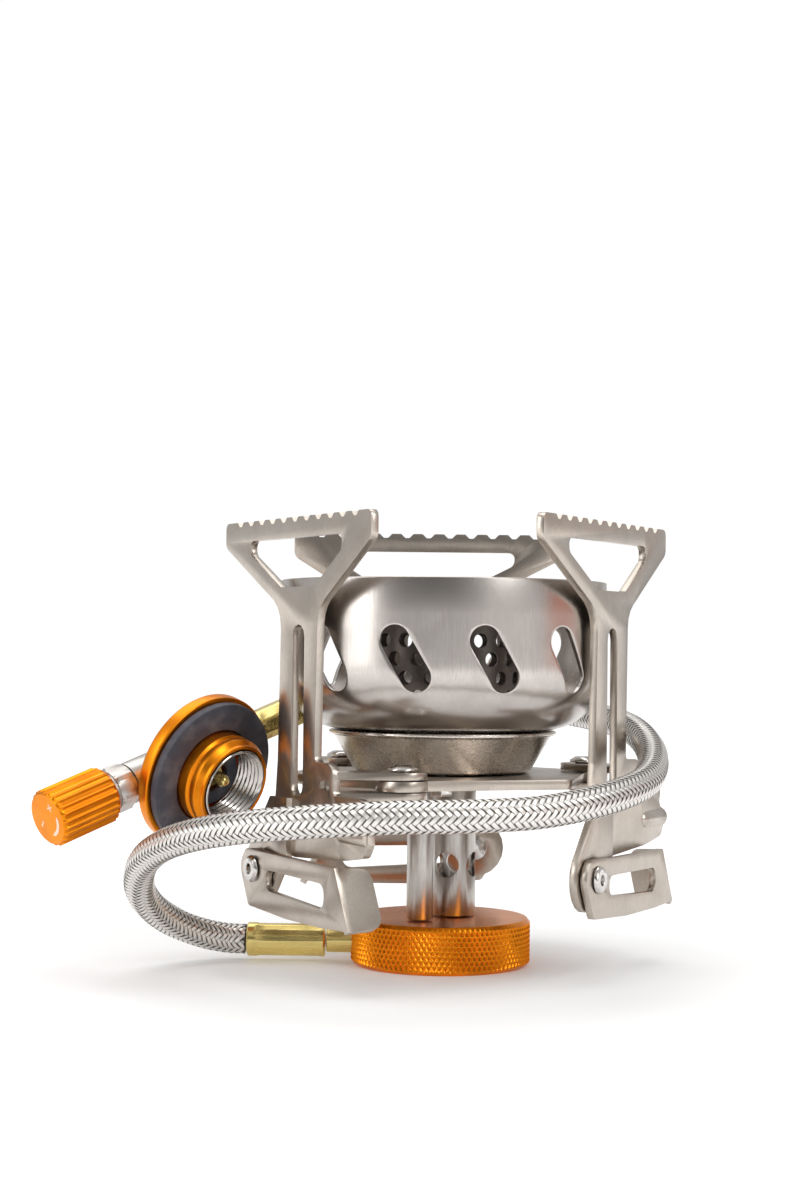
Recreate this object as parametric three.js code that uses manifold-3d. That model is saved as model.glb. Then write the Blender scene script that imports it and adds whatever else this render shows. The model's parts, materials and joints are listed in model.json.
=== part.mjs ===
// Folding hose-fed gas stove, folded for carrying, standing on its base disc.
// Millimetres, +Z up, origin at the middle of the base disc's underside.
import * as THREE from 'three';
import { mergeVertices } from 'three/addons/utils/BufferGeometryUtils.js';
import Module from 'manifold-3d';

const wasm = await Module();
wasm.setup();

// ---------- driving sizes ----------
const GAP = 0.3; // left between pieces that meet
const HEIGHT = 98; // from the ground to the toothed tops of the pot supports
const PAST = 1; // how far a cutting shape runs past the piece that it cuts

const base = { r: 20, h: 10.4, chamfer: 0.8 };
const tube = { x: 2.7, y: 2, r: 5, wall: 0.8, airR: 2.8, airZ: 22, airAzimuth: 250 };
const post = { x: -4.6, y: -8, r: 2.9 };
const jet = { r: 2.9, tipR: 1.3, wayR: 0.9, orificeR: 0.35, foot: 2.8, shoulder: 1.1, tip: 4.1 };
const hose = { r: 3.3, collar: 0.45, steps: 72, sides: 8 };
const inlet = { z: 4.7, gasR: 1.25, socketR: 3, socketX: 15, neckX: 25.4, ferruleX: 43.2 };
const hub = { z: 40.5, sheet: 2.1, cornerR: 36, cornerAzimuth: 260, cornerRound: 3, earR: 5.6 };
const pivot = { r: 33.5, azimuth: 43.8 }; // of a support's pivot, the azimuth from its sheet's normal
const rivet = { r: 1.9, headR: 3.2 };
const screw = { r: 1.2, ring: 14.5, azimuths: [30, 150, 270], headR: 2.5, nutR: 2.6, nutH: 2 };
const dish = { footR: 19.6, neckR: 24.4, lipR: 25.4, depth: 8.2, wall: 0.9 };
const bowl = { r: 36.4, h: 32.9, wall: 1, corner: 14, holeR: 12.5, aboveDish: 0.2 };
const slot = { count: 12, w: 6.5, l: 15.3, aboveFloor: 15.8, tilt: 30.6, azimuth: 257.5 };
const burner = { r: 18, h: 22.5, wall: 1, flange: 2.5, holeR: 1.5, holes: 16, rows: [8, 14.5] };
const cap = { overhang: 1.2, sheet: 1.2, plug: 2, wall: 1, holeR: 1.3, rings: [[6, 6], [12.5, 12]] };
const support = { clear: 1.1, sheet: 1.7, armSheet: 1.5, armR: 5.2, left: -31, right: 35, headDepth: 19.6 };
const tooth = { count: 11, pitch: 5.2, first: 7.4, depth: 1, foot: 1.5, top: 0.5 };
const stemSlot = { t: 4.5, w: 5.4, belowHub: 2.1, belowNeck: 3.4 };
const lobe = { step: 1.3, r: 7 };
const bead = { r: 2.3, from: 24, to: 34.6, belowHub: 8.3, sunk: 1.3 };
const foot = { sheet: 1.5, rivetT: -9.5, rivetBelowHub: 18.5, rivetR: 1.6, reachIn: 3.5 };
const spindle = { r: 2, from: 3.2, to: 31.5 };
const knob = { r: 6.3, rib: 0.4, from: 22.2, to: 37.3, edge: 1 };
const valve = { r: 4.6, half: 16, bossR: 6.6, bossH: 4.6, gasR: 1.2, sleeve: 18.2 };
const valvePlace = { beyondSupport: 19.8, y: -6, aboveHub: 4.6 };
const flange = { r: 17.3, face: 8, floor: 9, top: 17, bossWall: 1.6 };
const gasket = { inset: 0.9, h: 1.9 };
const insert = { r: 8.35, wall: 0.85 };
const seal = { holeR: 3.6, clear: 0.9, h: 1.3 };
const pin = { r: 1.4, collarR: 2.3, collarH: 1.1, to: 14.4 };

// ---------- sizes worked out from them ----------
const hubTop = hub.z + hub.sheet;
const tubeBore = tube.r - tube.wall;
const pillarFoot = base.h + GAP;
const pillarTop = hub.z - GAP;
const dishFoot = hubTop + GAP;
const dishTop = dishFoot + dish.depth;
const bowlFloor = dishTop + dish.wall + bowl.aboveDish;
const burnerFoot = bowlFloor + bowl.wall + GAP;
const burnerTop = burnerFoot + burner.h;
const supportN = bowl.r + support.clear; // inner face of a support's sheet, from the stove's axis
const lobeN = supportN + lobe.step;
const footN = lobeN + support.sheet + GAP;
const footRivetZ = hub.z - foot.rivetBelowHub;
const neckZ = HEIGHT - support.headDepth;
const ferruleR = hose.r + hose.collar;
const legs = [['rear', 92.2], ['left', 212.2], ['right', 332.2]];

// ---------- helpers ----------
const RAD = Math.PI / 180;
const vector = (x, y, z) => new THREE.Vector3(x, y, z);
const STANDING = new THREE.Matrix4().makeBasis(vector(0, 1, 0), vector(0, 0, 1), vector(1, 0, 0));

/** A point at a radius and an azimuth in degrees. */
function polar(radius, azimuth) {
  return [radius * Math.cos(azimuth * RAD), radius * Math.sin(azimuth * RAD)];
}

/** The same surface with only positions, its meeting corners shared. */
function merged(geometry) {
  const loose = geometry.index ? geometry.toNonIndexed() : geometry;
  for (const name of Object.keys(loose.attributes)) {
    if (name !== 'position') loose.deleteAttribute(name);
  }
  return mergeVertices(loose, 1e-4);
}

/** A closed geometry as a solid that can be cut and joined. */
function solid(geometry) {
  const { attributes, index } = merged(geometry);
  const vertProperties = new Float32Array(attributes.position.array);
  const triVerts = new Uint32Array(index.array);
  return new wasm.Manifold(new wasm.Mesh({ numProp: 3, vertProperties, triVerts }));
}

/** A solid as a geometry again. */
function surface(body) {
  const { vertProperties, triVerts } = body.getMesh();
  const geometry = new THREE.BufferGeometry();
  geometry.setAttribute('position', new THREE.BufferAttribute(new Float32Array(vertProperties), 3));
  geometry.setIndex(new THREE.BufferAttribute(new Uint32Array(triVerts), 1));
  return geometry;
}

const join = (first, ...others) => others.flat().reduce((whole, part) => whole.add(part), first);
const cut = (first, ...others) => others.flat().reduce((whole, part) => whole.subtract(part), first);

/** A cylinder or cone along Z from z0, of radius r0, to z1, of radius r1. */
function rod(r0, r1, z0, z1, sides, x = 0, y = 0) {
  const geometry = new THREE.CylinderGeometry(r1, r0, z1 - z0, sides);
  geometry.rotateX(Math.PI / 2);
  return geometry.translate(x, y, (z0 + z1) / 2);
}

/** A closed ring profile of [radius, z] points turned about Z. */
function turned(profile, sides) {
  const points = [...profile, profile[0]].map(([radius, z]) => new THREE.Vector2(radius, z));
  return new THREE.LatheGeometry(points, sides).rotateX(Math.PI / 2);
}

/** An outline given a thickness along Z. */
function plate(outline, z0, z1) {
  const points = outline.map(([x, y]) => new THREE.Vector2(x, y));
  const options = { depth: z1 - z0, bevelEnabled: false };
  return new THREE.ExtrudeGeometry(new THREE.Shape(points), options).translate(0, 0, z0);
}

/** A (t, z) outline given its thickness along n, where (n, t, z) are the axes X, Y and Z. */
const standing = (outline, n0, n1) => plate(outline, n0, n1).applyMatrix4(STANDING);

/** Points a shape built along +Z outwards at an azimuth, from the place [x, y, z]. */
function outward(geometry, azimuth, place) {
  return geometry.applyMatrix4(STANDING).rotateZ(azimuth * RAD).translate(...place);
}

/** A round outline. */
function circle(x, y, radius, sides) {
  const around = Array.from({ length: sides }, (_, i) => polar(radius, 360 * i / sides));
  return around.map(([dx, dy]) => [x + dx, y + dy]);
}

/** A slot's outline, its length along y. */
function slotOutline(width, length, steps) {
  const middle = (length - width) / 2;
  const half = Array.from({ length: steps + 1 }, (_, i) => polar(width / 2, 180 * i / steps));
  const upper = half.map(([x, y]) => [x, y + middle]);
  return [...upper, ...upper.map(([x, y]) => [-x, -y])];
}

/** An outline whose corners [x, y, radius] are rounded, each by an arc of so many steps. */
function rounded(corners, steps) {
  const count = corners.length;
  return corners.flatMap(([x, y, radius = 0], i) => {
    if (!radius) return [[x, y]];
    const here = new THREE.Vector2(x, y);
    const [before, after] = [corners[(i + count - 1) % count], corners[(i + 1) % count]]
      .map(([u, v]) => new THREE.Vector2(u, v).sub(here));
    const half = before.angleTo(after) / 2;
    const trim = Math.min(radius / Math.tan(half), 0.49 * before.length(), 0.49 * after.length());
    const arcRadius = trim * Math.tan(half);
    const start = before.normalize().clone().multiplyScalar(trim).add(here);
    const end = after.normalize().clone().multiplyScalar(trim).add(here);
    const middle = before.add(after).setLength(arcRadius / Math.sin(half)).add(here);
    const from = start.sub(middle).angle();
    let sweep = end.sub(middle).angle() - from;
    if (sweep > Math.PI) sweep -= 2 * Math.PI;
    if (sweep < -Math.PI) sweep += 2 * Math.PI;
    return Array.from({ length: steps + 1 }, (_, k) => {
      const [dx, dy] = polar(arcRadius, (from + sweep * k / steps) / RAD);
      return [middle.x + dx, middle.y + dy];
    });
  });
}

/** One side of the outline that a string pulled tight round sorted points would take. */
function hullSide(points) {
  const side = [];
  for (const point of points) {
    while (side.length > 1 && !turnsLeft(side.at(-2), side.at(-1), point)) side.pop();
    side.push(point);
  }
  return side.slice(0, -1);
}

/** Whether the way from a to b to c turns left. */
function turnsLeft(a, b, c) {
  return (b[0] - a[0]) * (c[1] - a[1]) - (b[1] - a[1]) * (c[0] - a[0]) > 1e-9;
}

/** The outline that a string pulled tight round all the points would take. */
function hull(points) {
  const sorted = [...points].sort((a, b) => a[0] - b[0] || a[1] - b[1]);
  return [...hullSide(sorted), ...hullSide([...sorted].reverse())];
}

// ---------- finishes and the group ----------
const FINISHES = {
  steel: { color: 0xb4afa8, roughness: 0.3, metalness: 1 },
  nickel: { color: 0xc9c6c0, roughness: 0.15, metalness: 1 },
  brass: { color: 0xc9ab4e, roughness: 0.3, metalness: 1 },
  orange: { color: 0xe8861a, roughness: 0.3, metalness: 1 },
  dark: { color: 0x3a3634, roughness: 0.4, metalness: 1 },
  braid: { color: 0xbdb8b0, roughness: 0.35, metalness: 0.8 },
  rubber: { color: 0x4b4b52, roughness: 0.6, metalness: 0 },
};
const group = new THREE.Group();
group.name = 'camping_stove';

/** Adds a named piece, a solid or a geometry, moved by a matrix where one is given. */
function add(name, shape, finish, matrix = new THREE.Matrix4()) {
  const geometry = merged(shape.isBufferGeometry ? shape : surface(shape)).applyMatrix4(matrix);
  geometry.computeVertexNormals();
  const mesh = new THREE.Mesh(geometry, new THREE.MeshStandardMaterial(FINISHES[finish]));
  mesh.name = name;
  group.add(mesh);
}

// ---------- base disc, gas way and pillars ----------
function addBase() {
  const { r, h, chamfer } = base;
  const disc = join(
    solid(rod(r - chamfer, r, 0, chamfer, 56)),
    solid(rod(r, r, chamfer, h - chamfer, 56)),
    solid(rod(r, r - chamfer, h - chamfer, h, 56)),
  );
  const jetHole = rod(jet.r + GAP, jet.r + GAP, jet.foot - GAP, h + PAST, 24, tube.x, tube.y);
  const gasWay = outward(rod(inlet.gasR, inlet.gasR, -4, r, 16), 180, [0, 0, inlet.z]);
  const counterbore = rod(inlet.socketR, inlet.socketR, inlet.socketX, r + PAST, 24);
  const socket = outward(counterbore, 180, [0, 0, inlet.z]);
  add('base_disc', cut(disc, solid(jetHole), solid(gasWay), solid(socket)), 'orange');

  const [shoulder, tip] = [h + jet.shoulder, h + jet.tip];
  const nozzle = join(
    solid(rod(jet.r, jet.r, jet.foot, shoulder, 24)),
    solid(rod(jet.r, jet.tipR, shoulder, tip, 24)),
  );
  const way = solid(rod(jet.wayR, jet.wayR, jet.foot - PAST, tip - 1.5, 12));
  const orifice = solid(rod(jet.orificeR, jet.orificeR, tip - 2, tip + PAST, 8));
  add('gas_jet', cut(nozzle, way, orifice), 'brass', new THREE.Matrix4().makeTranslation(tube.x, tube.y, 0));
}

function addPillars() {
  const wall = solid(rod(tube.r, tube.r, pillarFoot, pillarTop, 40, tube.x, tube.y));
  const bore = solid(rod(tubeBore, tubeBore, pillarFoot - PAST, pillarTop + PAST, 40, tube.x, tube.y));
  const airHoles = [tube.airAzimuth, tube.airAzimuth + 90].map((azimuth) => {
    const across = rod(tube.airR, tube.airR, -tube.r - PAST, tube.r + PAST, 24);
    return solid(outward(across, azimuth, [tube.x, tube.y, tube.airZ]));
  });
  add('mixing_tube', cut(wall, bore, airHoles), 'steel');
  add('support_post', rod(post.r, post.r, pillarFoot, pillarTop, 28, post.x, post.y), 'nickel');
}

// ---------- hub plate, dish and the screws that hold them ----------
const pivots = legs.map(([, azimuth]) => polar(pivot.r, azimuth + pivot.azimuth));
const screws = screw.azimuths.map((azimuth) => polar(screw.ring, azimuth));

/** Holes through a level sheet for the mixing tube's gas and for the screws. */
function gasAndScrewHoles(z0, z1) {
  const hole = (r, sides, x, y) => rod(r, r, z0 - PAST, z1 + PAST, sides, x, y);
  const screwHoles = screws.map(([x, y]) => hole(screw.r + GAP, 16, x, y));
  const gasHole = hole(tubeBore, 32, tube.x, tube.y);
  return [gasHole, ...screwHoles].map(solid);
}

function addHub() {
  const corner = (i) => [...polar(hub.cornerR, hub.cornerAzimuth + 60 * i), hub.cornerRound];
  const hexagon = rounded([0, 1, 2, 3, 4, 5].map(corner), 4);
  const ears = pivots.map(([x, y]) => solid(rod(hub.earR, hub.earR, hub.z, hubTop, 32, x, y)));
  const holeR = rivet.r + GAP;
  const holes = pivots.map(([x, y]) => solid(rod(holeR, holeR, hub.z - PAST, hubTop + PAST, 20, x, y)));
  const sheet = join(solid(plate(hexagon, hub.z, hubTop)), ears);
  add('hub_plate', cut(sheet, holes, gasAndScrewHoles(hub.z, hubTop)), 'steel');
}

function addDish() {
  const { footR, neckR, lipR, wall } = dish;
  const inset = 0.75 * wall; // the slanting wall's thickness, measured level
  const middle = 0.8; // inside the gas hole, so it leaves nothing of its own
  const profile = [
    [middle, dishFoot], [footR, dishFoot], [neckR, dishTop], [lipR, dishTop], [lipR, dishTop + wall],
    [neckR - inset, dishTop + wall], [footR - inset, dishFoot + wall], [middle, dishFoot + wall],
  ];
  add('burner_dish', cut(solid(turned(profile, 40)), gasAndScrewHoles(dishFoot, dishFoot + wall)), 'steel');

  const seat = dishFoot + dish.wall + GAP;
  const nutTop = hub.z - GAP;
  screws.forEach(([x, y], i) => {
    const shape = join(
      solid(rod(screw.r, screw.r, nutTop - 0.4, seat + 0.1, 16)),
      solid(rod(screw.headR, screw.headR - 0.6, seat, seat + 1.4, 16)),
      solid(rod(screw.nutR, screw.nutR, nutTop - screw.nutH, nutTop, 6)),
    );
    add(`hub_screw_${i + 1}`, shape, 'steel', new THREE.Matrix4().makeTranslation(x, y, 0));
  });
}

// ---------- wind bowl and burner ----------
function addBowl() {
  const { r, wall, corner, holeR } = bowl;
  const rim = bowlFloor + bowl.h;
  const arc = (radius) => [0, 1, 2, 3, 4, 5].map((i) => {
    const [x, z] = polar(radius, 18 * i - 90);
    return [r - corner + x, bowlFloor + corner + z];
  });
  const outside = [[holeR, bowlFloor], ...arc(corner), [r, rim]];
  const inside = [[r - wall, rim], ...arc(corner - wall).reverse(), [holeR, bowlFloor + wall]];
  const slots = Array.from({ length: slot.count }, (_, i) => {
    const cutter = plate(slotOutline(slot.w, slot.l, 5), r - 9, r + PAST).rotateZ(slot.tilt * RAD);
    return solid(outward(cutter, slot.azimuth + 360 * i / slot.count, [0, 0, bowlFloor + slot.aboveFloor]));
  });
  add('windshield_bowl', cut(solid(turned([...outside, ...inside], 48)), slots), 'steel');
}

function addBurner() {
  const { r, wall, holes } = burner;
  const flangeR = r + burner.flange;
  const mouth = bowl.holeR - 1;
  const flangeTop = burnerFoot + wall;
  const profile = [
    [mouth, burnerFoot], [flangeR, burnerFoot], [flangeR, flangeTop], [r, flangeTop],
    [r, burnerTop], [r - wall, burnerTop], [r - wall, flangeTop], [mouth, flangeTop],
  ];
  const flameHoles = burner.rows.flatMap((height, row) => Array.from({ length: holes }, (_, i) => {
    const drill = rod(burner.holeR, burner.holeR, r - wall - PAST, r + PAST, 6);
    return solid(outward(drill, 360 * (i + row / 2) / holes, [0, 0, burnerFoot + height]));
  }));
  add('burner_head', cut(solid(turned(profile, 40)), flameHoles), 'steel');

  const underside = burnerTop + GAP;
  const plugR = r - wall - GAP;
  const lid = join(
    solid(rod(r + cap.overhang, r + cap.overhang, underside, underside + cap.sheet, 40)),
    solid(rod(plugR, plugR, burnerTop - cap.plug, underside + 0.2, 40)),
  );
  const hollow = solid(rod(plugR - cap.wall, plugR - cap.wall, burnerTop - cap.plug - PAST, underside, 40));
  const vents = cap.rings.flatMap(([ring, count]) => Array.from({ length: count }, (_, i) => {
    const [x, y] = polar(ring, 360 * i / count);
    return solid(rod(cap.holeR, cap.holeR, burnerTop - PAST, underside + cap.sheet + PAST, 6, x, y));
  }));
  add('burner_cap', cut(lid, hollow, vents), 'steel');
}

// ---------- pot supports ----------
/** The support's sheet as (t, z): a ledge below the hub's height, the stem, and the toothed head. */
function supportOutline() {
  const { left, right } = support;
  const teeth = Array.from({ length: tooth.count }, (_, i) => {
    const t = left + tooth.first + tooth.pitch * i;
    const low = HEIGHT - tooth.depth;
    return [[t - tooth.foot, HEIGHT], [t - tooth.top, low], [t + tooth.top, low], [t + tooth.foot, HEIGHT]];
  }).flat();
  return rounded([
    [-4.4, hub.z - 13.5], [-5.4, hub.z - 4.5, 3], [-4.3, hub.z + 5.5, 4], [-3.4, neckZ, 7],
    [left, HEIGHT - 5.4, 2], [left, HEIGHT, 1.4], ...teeth, [right, HEIGHT, 1.4], [right, HEIGHT - 5.7, 2.2],
    [13, neckZ, 6], [12.3, hub.z + 5.7, 1.2], [20.2, hub.z + 5.5, 2.4], [20.4, hub.z - 0.9, 1],
    [33.5, hub.z - 0.9, 2.5], [31.9, hub.z - 5.3, 1.6], [34.9, hub.z - 6.9, 1.4],
    [34.9, hub.z - 9.9, 1.6], [33.2, hub.z - 12.5, 2], [24, hub.z - 13.9, 6], [4, hub.z - 14.9, 2],
  ].reverse(), 3);
}

/** The window in the head, the slot in the stem, the small slit at the hub's height, the rivet hole. */
function supportCutouts() {
  const window = rounded([
    [-18.6, HEIGHT - 4.4, 1.8], [-18.6, HEIGHT - 7.4, 2], [-3.6, HEIGHT - 15, 2],
    [11.4, HEIGHT - 15, 2], [23, HEIGHT - 7.6, 2], [23, HEIGHT - 4.4, 1.8],
  ], 4);
  const slotLow = hub.z - stemSlot.belowHub;
  const slotHigh = neckZ - stemSlot.belowNeck;
  const stem = slotOutline(stemSlot.w, slotHigh - slotLow, 6)
    .map(([t, z]) => [t + stemSlot.t, z + (slotLow + slotHigh) / 2]);
  const [slitLow, slitHigh] = [hub.z + 0.2, hubTop - 0.2];
  const slit = [[14.4, slitLow], [18.8, slitLow], [18.8, slitHigh], [14.4, slitHigh]];
  const rivetHole = circle(foot.rivetT, footRivetZ, foot.rivetR + GAP, 14);
  return [window, stem, slit, rivetHole].map((outline) => (
    solid(standing(outline, supportN - PAST, lobeN + support.sheet + PAST))
  ));
}

/** The ear that carries the foot's rivet, a sheet's thickness outside the support. */
function supportLobe() {
  const ends = [[-5.2, hub.z - 2.5], [2.5, hub.z - 2.5], [2.5, hub.z - 14.5]];
  const outline = hull([...circle(foot.rivetT, footRivetZ, lobe.r, 20), ...ends]);
  return solid(standing(outline, lobeN, lobeN + support.sheet));
}

/** The stiffening bead pressed outwards across the ledge, half round and with a round end. */
function supportBead() {
  const z = hub.z - bead.belowHub;
  const axisN = supportN + support.sheet - bead.sunk;
  const ridge = solid(outward(rod(bead.r, bead.r, bead.from, bead.to, 16), 90, [axisN, 0, z]));
  const end = solid(new THREE.SphereGeometry(bead.r, 16, 8).translate(axisN, bead.from, z));
  const [low, high] = [z - bead.r - PAST, z + bead.r + PAST];
  const behind = [[0, low], [bead.to + PAST, low], [bead.to + PAST, high], [0, high]];
  return cut(join(ridge, end), solid(standing(behind, 0, supportN + 0.4)));
}

/** Two level arms from the support's sheet to its pivot, one above the hub plate and one below. */
function supportArms() {
  const [n, t] = polar(pivot.r, pivot.azimuth);
  const root = supportN + 0.6;
  const outline = hull([...circle(n, t, support.armR, 18), [root, 12.6], [root, 20.2]]);
  const hole = circle(n, t, rivet.r + GAP, 14);
  return [hubTop + GAP, hub.z - GAP - support.armSheet].map((z) => {
    const hollow = solid(plate(hole, z - PAST, z + support.armSheet + PAST));
    return cut(solid(plate(outline, z, z + support.armSheet)), hollow);
  });
}

function addSupport(name, azimuth) {
  const sheet = solid(standing(supportOutline(), supportN, supportN + support.sheet));
  const whole = cut(join(sheet, supportLobe(), supportBead(), supportArms()), supportCutouts());
  add(`leg_${name}`, whole, 'steel', new THREE.Matrix4().makeRotationZ(azimuth * RAD));
}

/** The rivet through an ear of the hub plate and the two arms round it. */
function addPivotRivet(name, [x, y]) {
  const top = hubTop + 2 * GAP + support.armSheet;
  const low = hub.z - 2 * GAP - support.armSheet;
  const shape = join(
    solid(rod(rivet.r, rivet.r, low - 0.2, top + 0.2, 14)),
    solid(rod(rivet.headR, rivet.headR - 0.2, top, top + 0.5, 16)),
    solid(rod(rivet.headR - 0.2, rivet.headR - 1.4, top + 0.5, top + 1.2, 16)),
    solid(rod(rivet.headR - 0.6, rivet.headR, low - 0.9, low, 16)),
  );
  add(`pivot_rivet_${name}`, shape, 'nickel', new THREE.Matrix4().makeTranslation(x, y, 0));
}

// ---------- feet ----------
/** A foot: a plate with a window, and a flange bent inwards along a slanting line at its end. */
function addFoot(name, azimuth) {
  const at = (t, z, round = 0) => [foot.rivetT + t, footRivetZ + z, round];
  const [bendTop, bendLow] = [at(36.3, 3.6), at(42.3, -8.6)];
  const outline = rounded([
    at(-6.4, 0.5, 3.4), at(-1.9, -8.1, 1.4), at(15.5, -9.1, 8), at(31.5, -9.1, 8), bendLow, bendTop,
    at(9.5, 3.9, 4), at(2.7, 4.3, 2.5), at(-3.5, 4.2, 2.2),
  ], 4);
  const windowCorners = [at(6.1, 0.3, 1.8), at(6.1, -4, 2), at(32.1, -5.5, 2.2), at(32.1, -0.1, 2.2)];

  const along = vector(0, bendLow[0] - bendTop[0], bendLow[1] - bendTop[1]);
  const bend = along.length();
  const outer = footN + foot.sheet;
  const inner = supportN - foot.reachIn;
  const round = 2.6;
  const flangeCorners = [[0, outer], [0.5, inner, round], [bend - 0.3, inner, round], [bend, outer]];
  const inPlace = new THREE.Matrix4().makeBasis(
    along.normalize(), vector(1, 0, 0), vector(0, along.z, -along.y),
  ).setPosition(0, bendTop[0], bendTop[1]);
  const flangeSheet = plate(rounded(flangeCorners, 5), 0, foot.sheet).applyMatrix4(inPlace);

  const rivetHole = circle(foot.rivetT, footRivetZ, foot.rivetR + GAP, 14);
  const holes = [rounded(windowCorners, 4), rivetHole].map((hole) => (
    solid(standing(hole, footN - PAST, outer + PAST))
  ));
  const whole = join(solid(standing(outline, footN, outer)), solid(flangeSheet));
  add(`foot_${name}`, cut(whole, holes), 'steel', new THREE.Matrix4().makeRotationZ(azimuth * RAD));
}

/** The hollow rivet that a foot turns on, through the support's lobe. */
function addFootRivet(name, azimuth) {
  const inner = lobeN - GAP;
  const outer = footN + foot.sheet + GAP;
  const headR = foot.rivetR + 1.4;
  const shape = cut(
    join(
      solid(rod(headR, headR, inner - 0.8, inner, 16)),
      solid(rod(foot.rivetR, foot.rivetR, inner - 0.1, outer + 0.1, 14)),
      solid(rod(headR, headR - 0.5, outer, outer + 0.8, 16)),
    ),
    solid(rod(1, 1.2, outer - 0.6, outer + PAST, 10)),
  );
  const place = new THREE.Matrix4().makeRotationZ(azimuth * RAD).multiply(
    STANDING.clone().setPosition(0, foot.rivetT, footRivetZ),
  );
  add(`foot_rivet_${name}`, shape, 'nickel', place);
}

// ---------- gas inlet ----------
function addInlet() {
  const towardsHose = (r0, r1, x0, x1, sides) => (
    solid(outward(rod(r0, r1, x0, x1, sides), 180, [0, 0, inlet.z]))
  );
  const neckR = inlet.socketR - GAP;
  const neckFrom = inlet.socketX + GAP;
  const sleeveFrom = inlet.neckX + GAP;
  const bore = towardsHose(valve.gasR, valve.gasR, neckFrom - PAST, inlet.ferruleX + PAST, 12);
  add('inlet_neck', cut(towardsHose(neckR, neckR, neckFrom, inlet.neckX, 24), bore), 'brass');
  const sleeve = join(
    towardsHose(ferruleR - 0.25, ferruleR, sleeveFrom, sleeveFrom + 1.3, 28),
    towardsHose(ferruleR, ferruleR, sleeveFrom + 1.3, inlet.ferruleX - 0.8, 28),
    towardsHose(ferruleR, ferruleR - 0.3, inlet.ferruleX - 0.8, inlet.ferruleX, 28),
  );
  add('inlet_ferrule', cut(sleeve, bore), 'brass');
}

// ---------- valve, with its knob along one axis and its canister flange along another ----------
const valveMiddle = vector(-(supportN + valvePlace.beyondSupport), valvePlace.y, hub.z + valvePlace.aboveHub);
const toKnob = vector(-0.676, -0.668, -0.31).normalize();
const toCanister = vector(0.7, -0.63, -0.33);
toCanister.addScaledVector(toKnob, -toCanister.dot(toKnob)).normalize();
const crosswise = vector(0, 0, 0).crossVectors(toKnob, toCanister);
const knobAxis = new THREE.Matrix4().makeBasis(toCanister, crosswise, toKnob).setPosition(valveMiddle);
const flangeAxis = new THREE.Matrix4().makeBasis(crosswise, toKnob, toCanister).setPosition(valveMiddle);

/** A rod along the valve's bar, towards the knob, or along the flange's axis, towards the canister. */
function onKnobAxis(r0, r1, z0, z1, sides = 28) {
  return solid(rod(r0, r1, z0, z1, sides).applyMatrix4(knobAxis));
}

function onFlangeAxis(r0, r1, z0, z1, sides = 32) {
  return solid(rod(r0, r1, z0, z1, sides).applyMatrix4(flangeAxis));
}

/** A ring profile turned about the flange's axis. */
function flangeRing(profile, sides) {
  return turned(profile, sides).applyMatrix4(flangeAxis);
}

function addValveBody() {
  const { r, half, bossR, bossH, gasR } = valve;
  const end = -half - GAP;
  const sleeveEnd = end - valve.sleeve;
  const sleeve = join(
    onKnobAxis(ferruleR - 0.3, ferruleR, sleeveEnd, sleeveEnd + 0.8),
    onKnobAxis(ferruleR, ferruleR, sleeveEnd + 0.8, end - 3.1),
    onKnobAxis(ferruleR + 0.6, ferruleR + 0.6, end - 3.7, end, 6),
  );
  add('valve_ferrule', cut(sleeve, onKnobAxis(gasR, gasR, sleeveEnd - PAST, end + PAST, 12)), 'brass');

  const bar = join(
    onKnobAxis(r - 0.2, r, -half, -half + 1.5),
    onKnobAxis(r, r, -half + 1.5, half),
    onFlangeAxis(bossR, bossR, 0, bossH),
  );
  const bores = [
    onKnobAxis(gasR, gasR, -half - PAST, spindle.from, 12),
    onKnobAxis(spindle.r + GAP, spindle.r + GAP, spindle.from - 0.7, half + PAST, 16),
    onFlangeAxis(gasR, gasR, 0, bossH + PAST, 12),
  ];
  add('valve_body', cut(bar, bores), 'nickel');
}

function addKnob() {
  const bore = spindle.r + GAP;
  const nutFoot = valve.half + GAP;
  const nut = join(
    onKnobAxis(valve.r + 0.6, valve.r + 0.6, nutFoot, nutFoot + 4.5, 6),
    onKnobAxis(spindle.r + 2.2, spindle.r + 2.2, nutFoot + 4.1, nutFoot + 5.3, 20),
  );
  add('gland_nut', cut(nut, onKnobAxis(bore, bore, nutFoot - PAST, nutFoot + 5.3 + PAST, 16)), 'nickel');

  const needle = spindle.from + 2;
  add('valve_spindle', join(
    onKnobAxis(0.7, spindle.r, spindle.from, needle, 16),
    onKnobAxis(spindle.r, spindle.r, needle, spindle.to, 16),
  ), 'dark');

  const ribs = Array.from({ length: 48 }, (_, i) => polar(i % 4 < 2 ? knob.r : knob.r - knob.rib, 7.5 * i));
  const round = knob.r - knob.rib - 0.15;
  const grip = join(
    solid(plate(ribs, knob.from + 0.8, knob.to - 1.1).applyMatrix4(knobAxis)),
    onKnobAxis(knob.r - knob.edge, round, knob.from, knob.from + 0.9, 36),
    onKnobAxis(round, knob.r - knob.edge, knob.to - 1.2, knob.to, 36),
  );
  add('control_knob', cut(grip, onKnobAxis(bore, bore, knob.from - PAST, spindle.to + GAP, 16)), 'orange');
}

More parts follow.
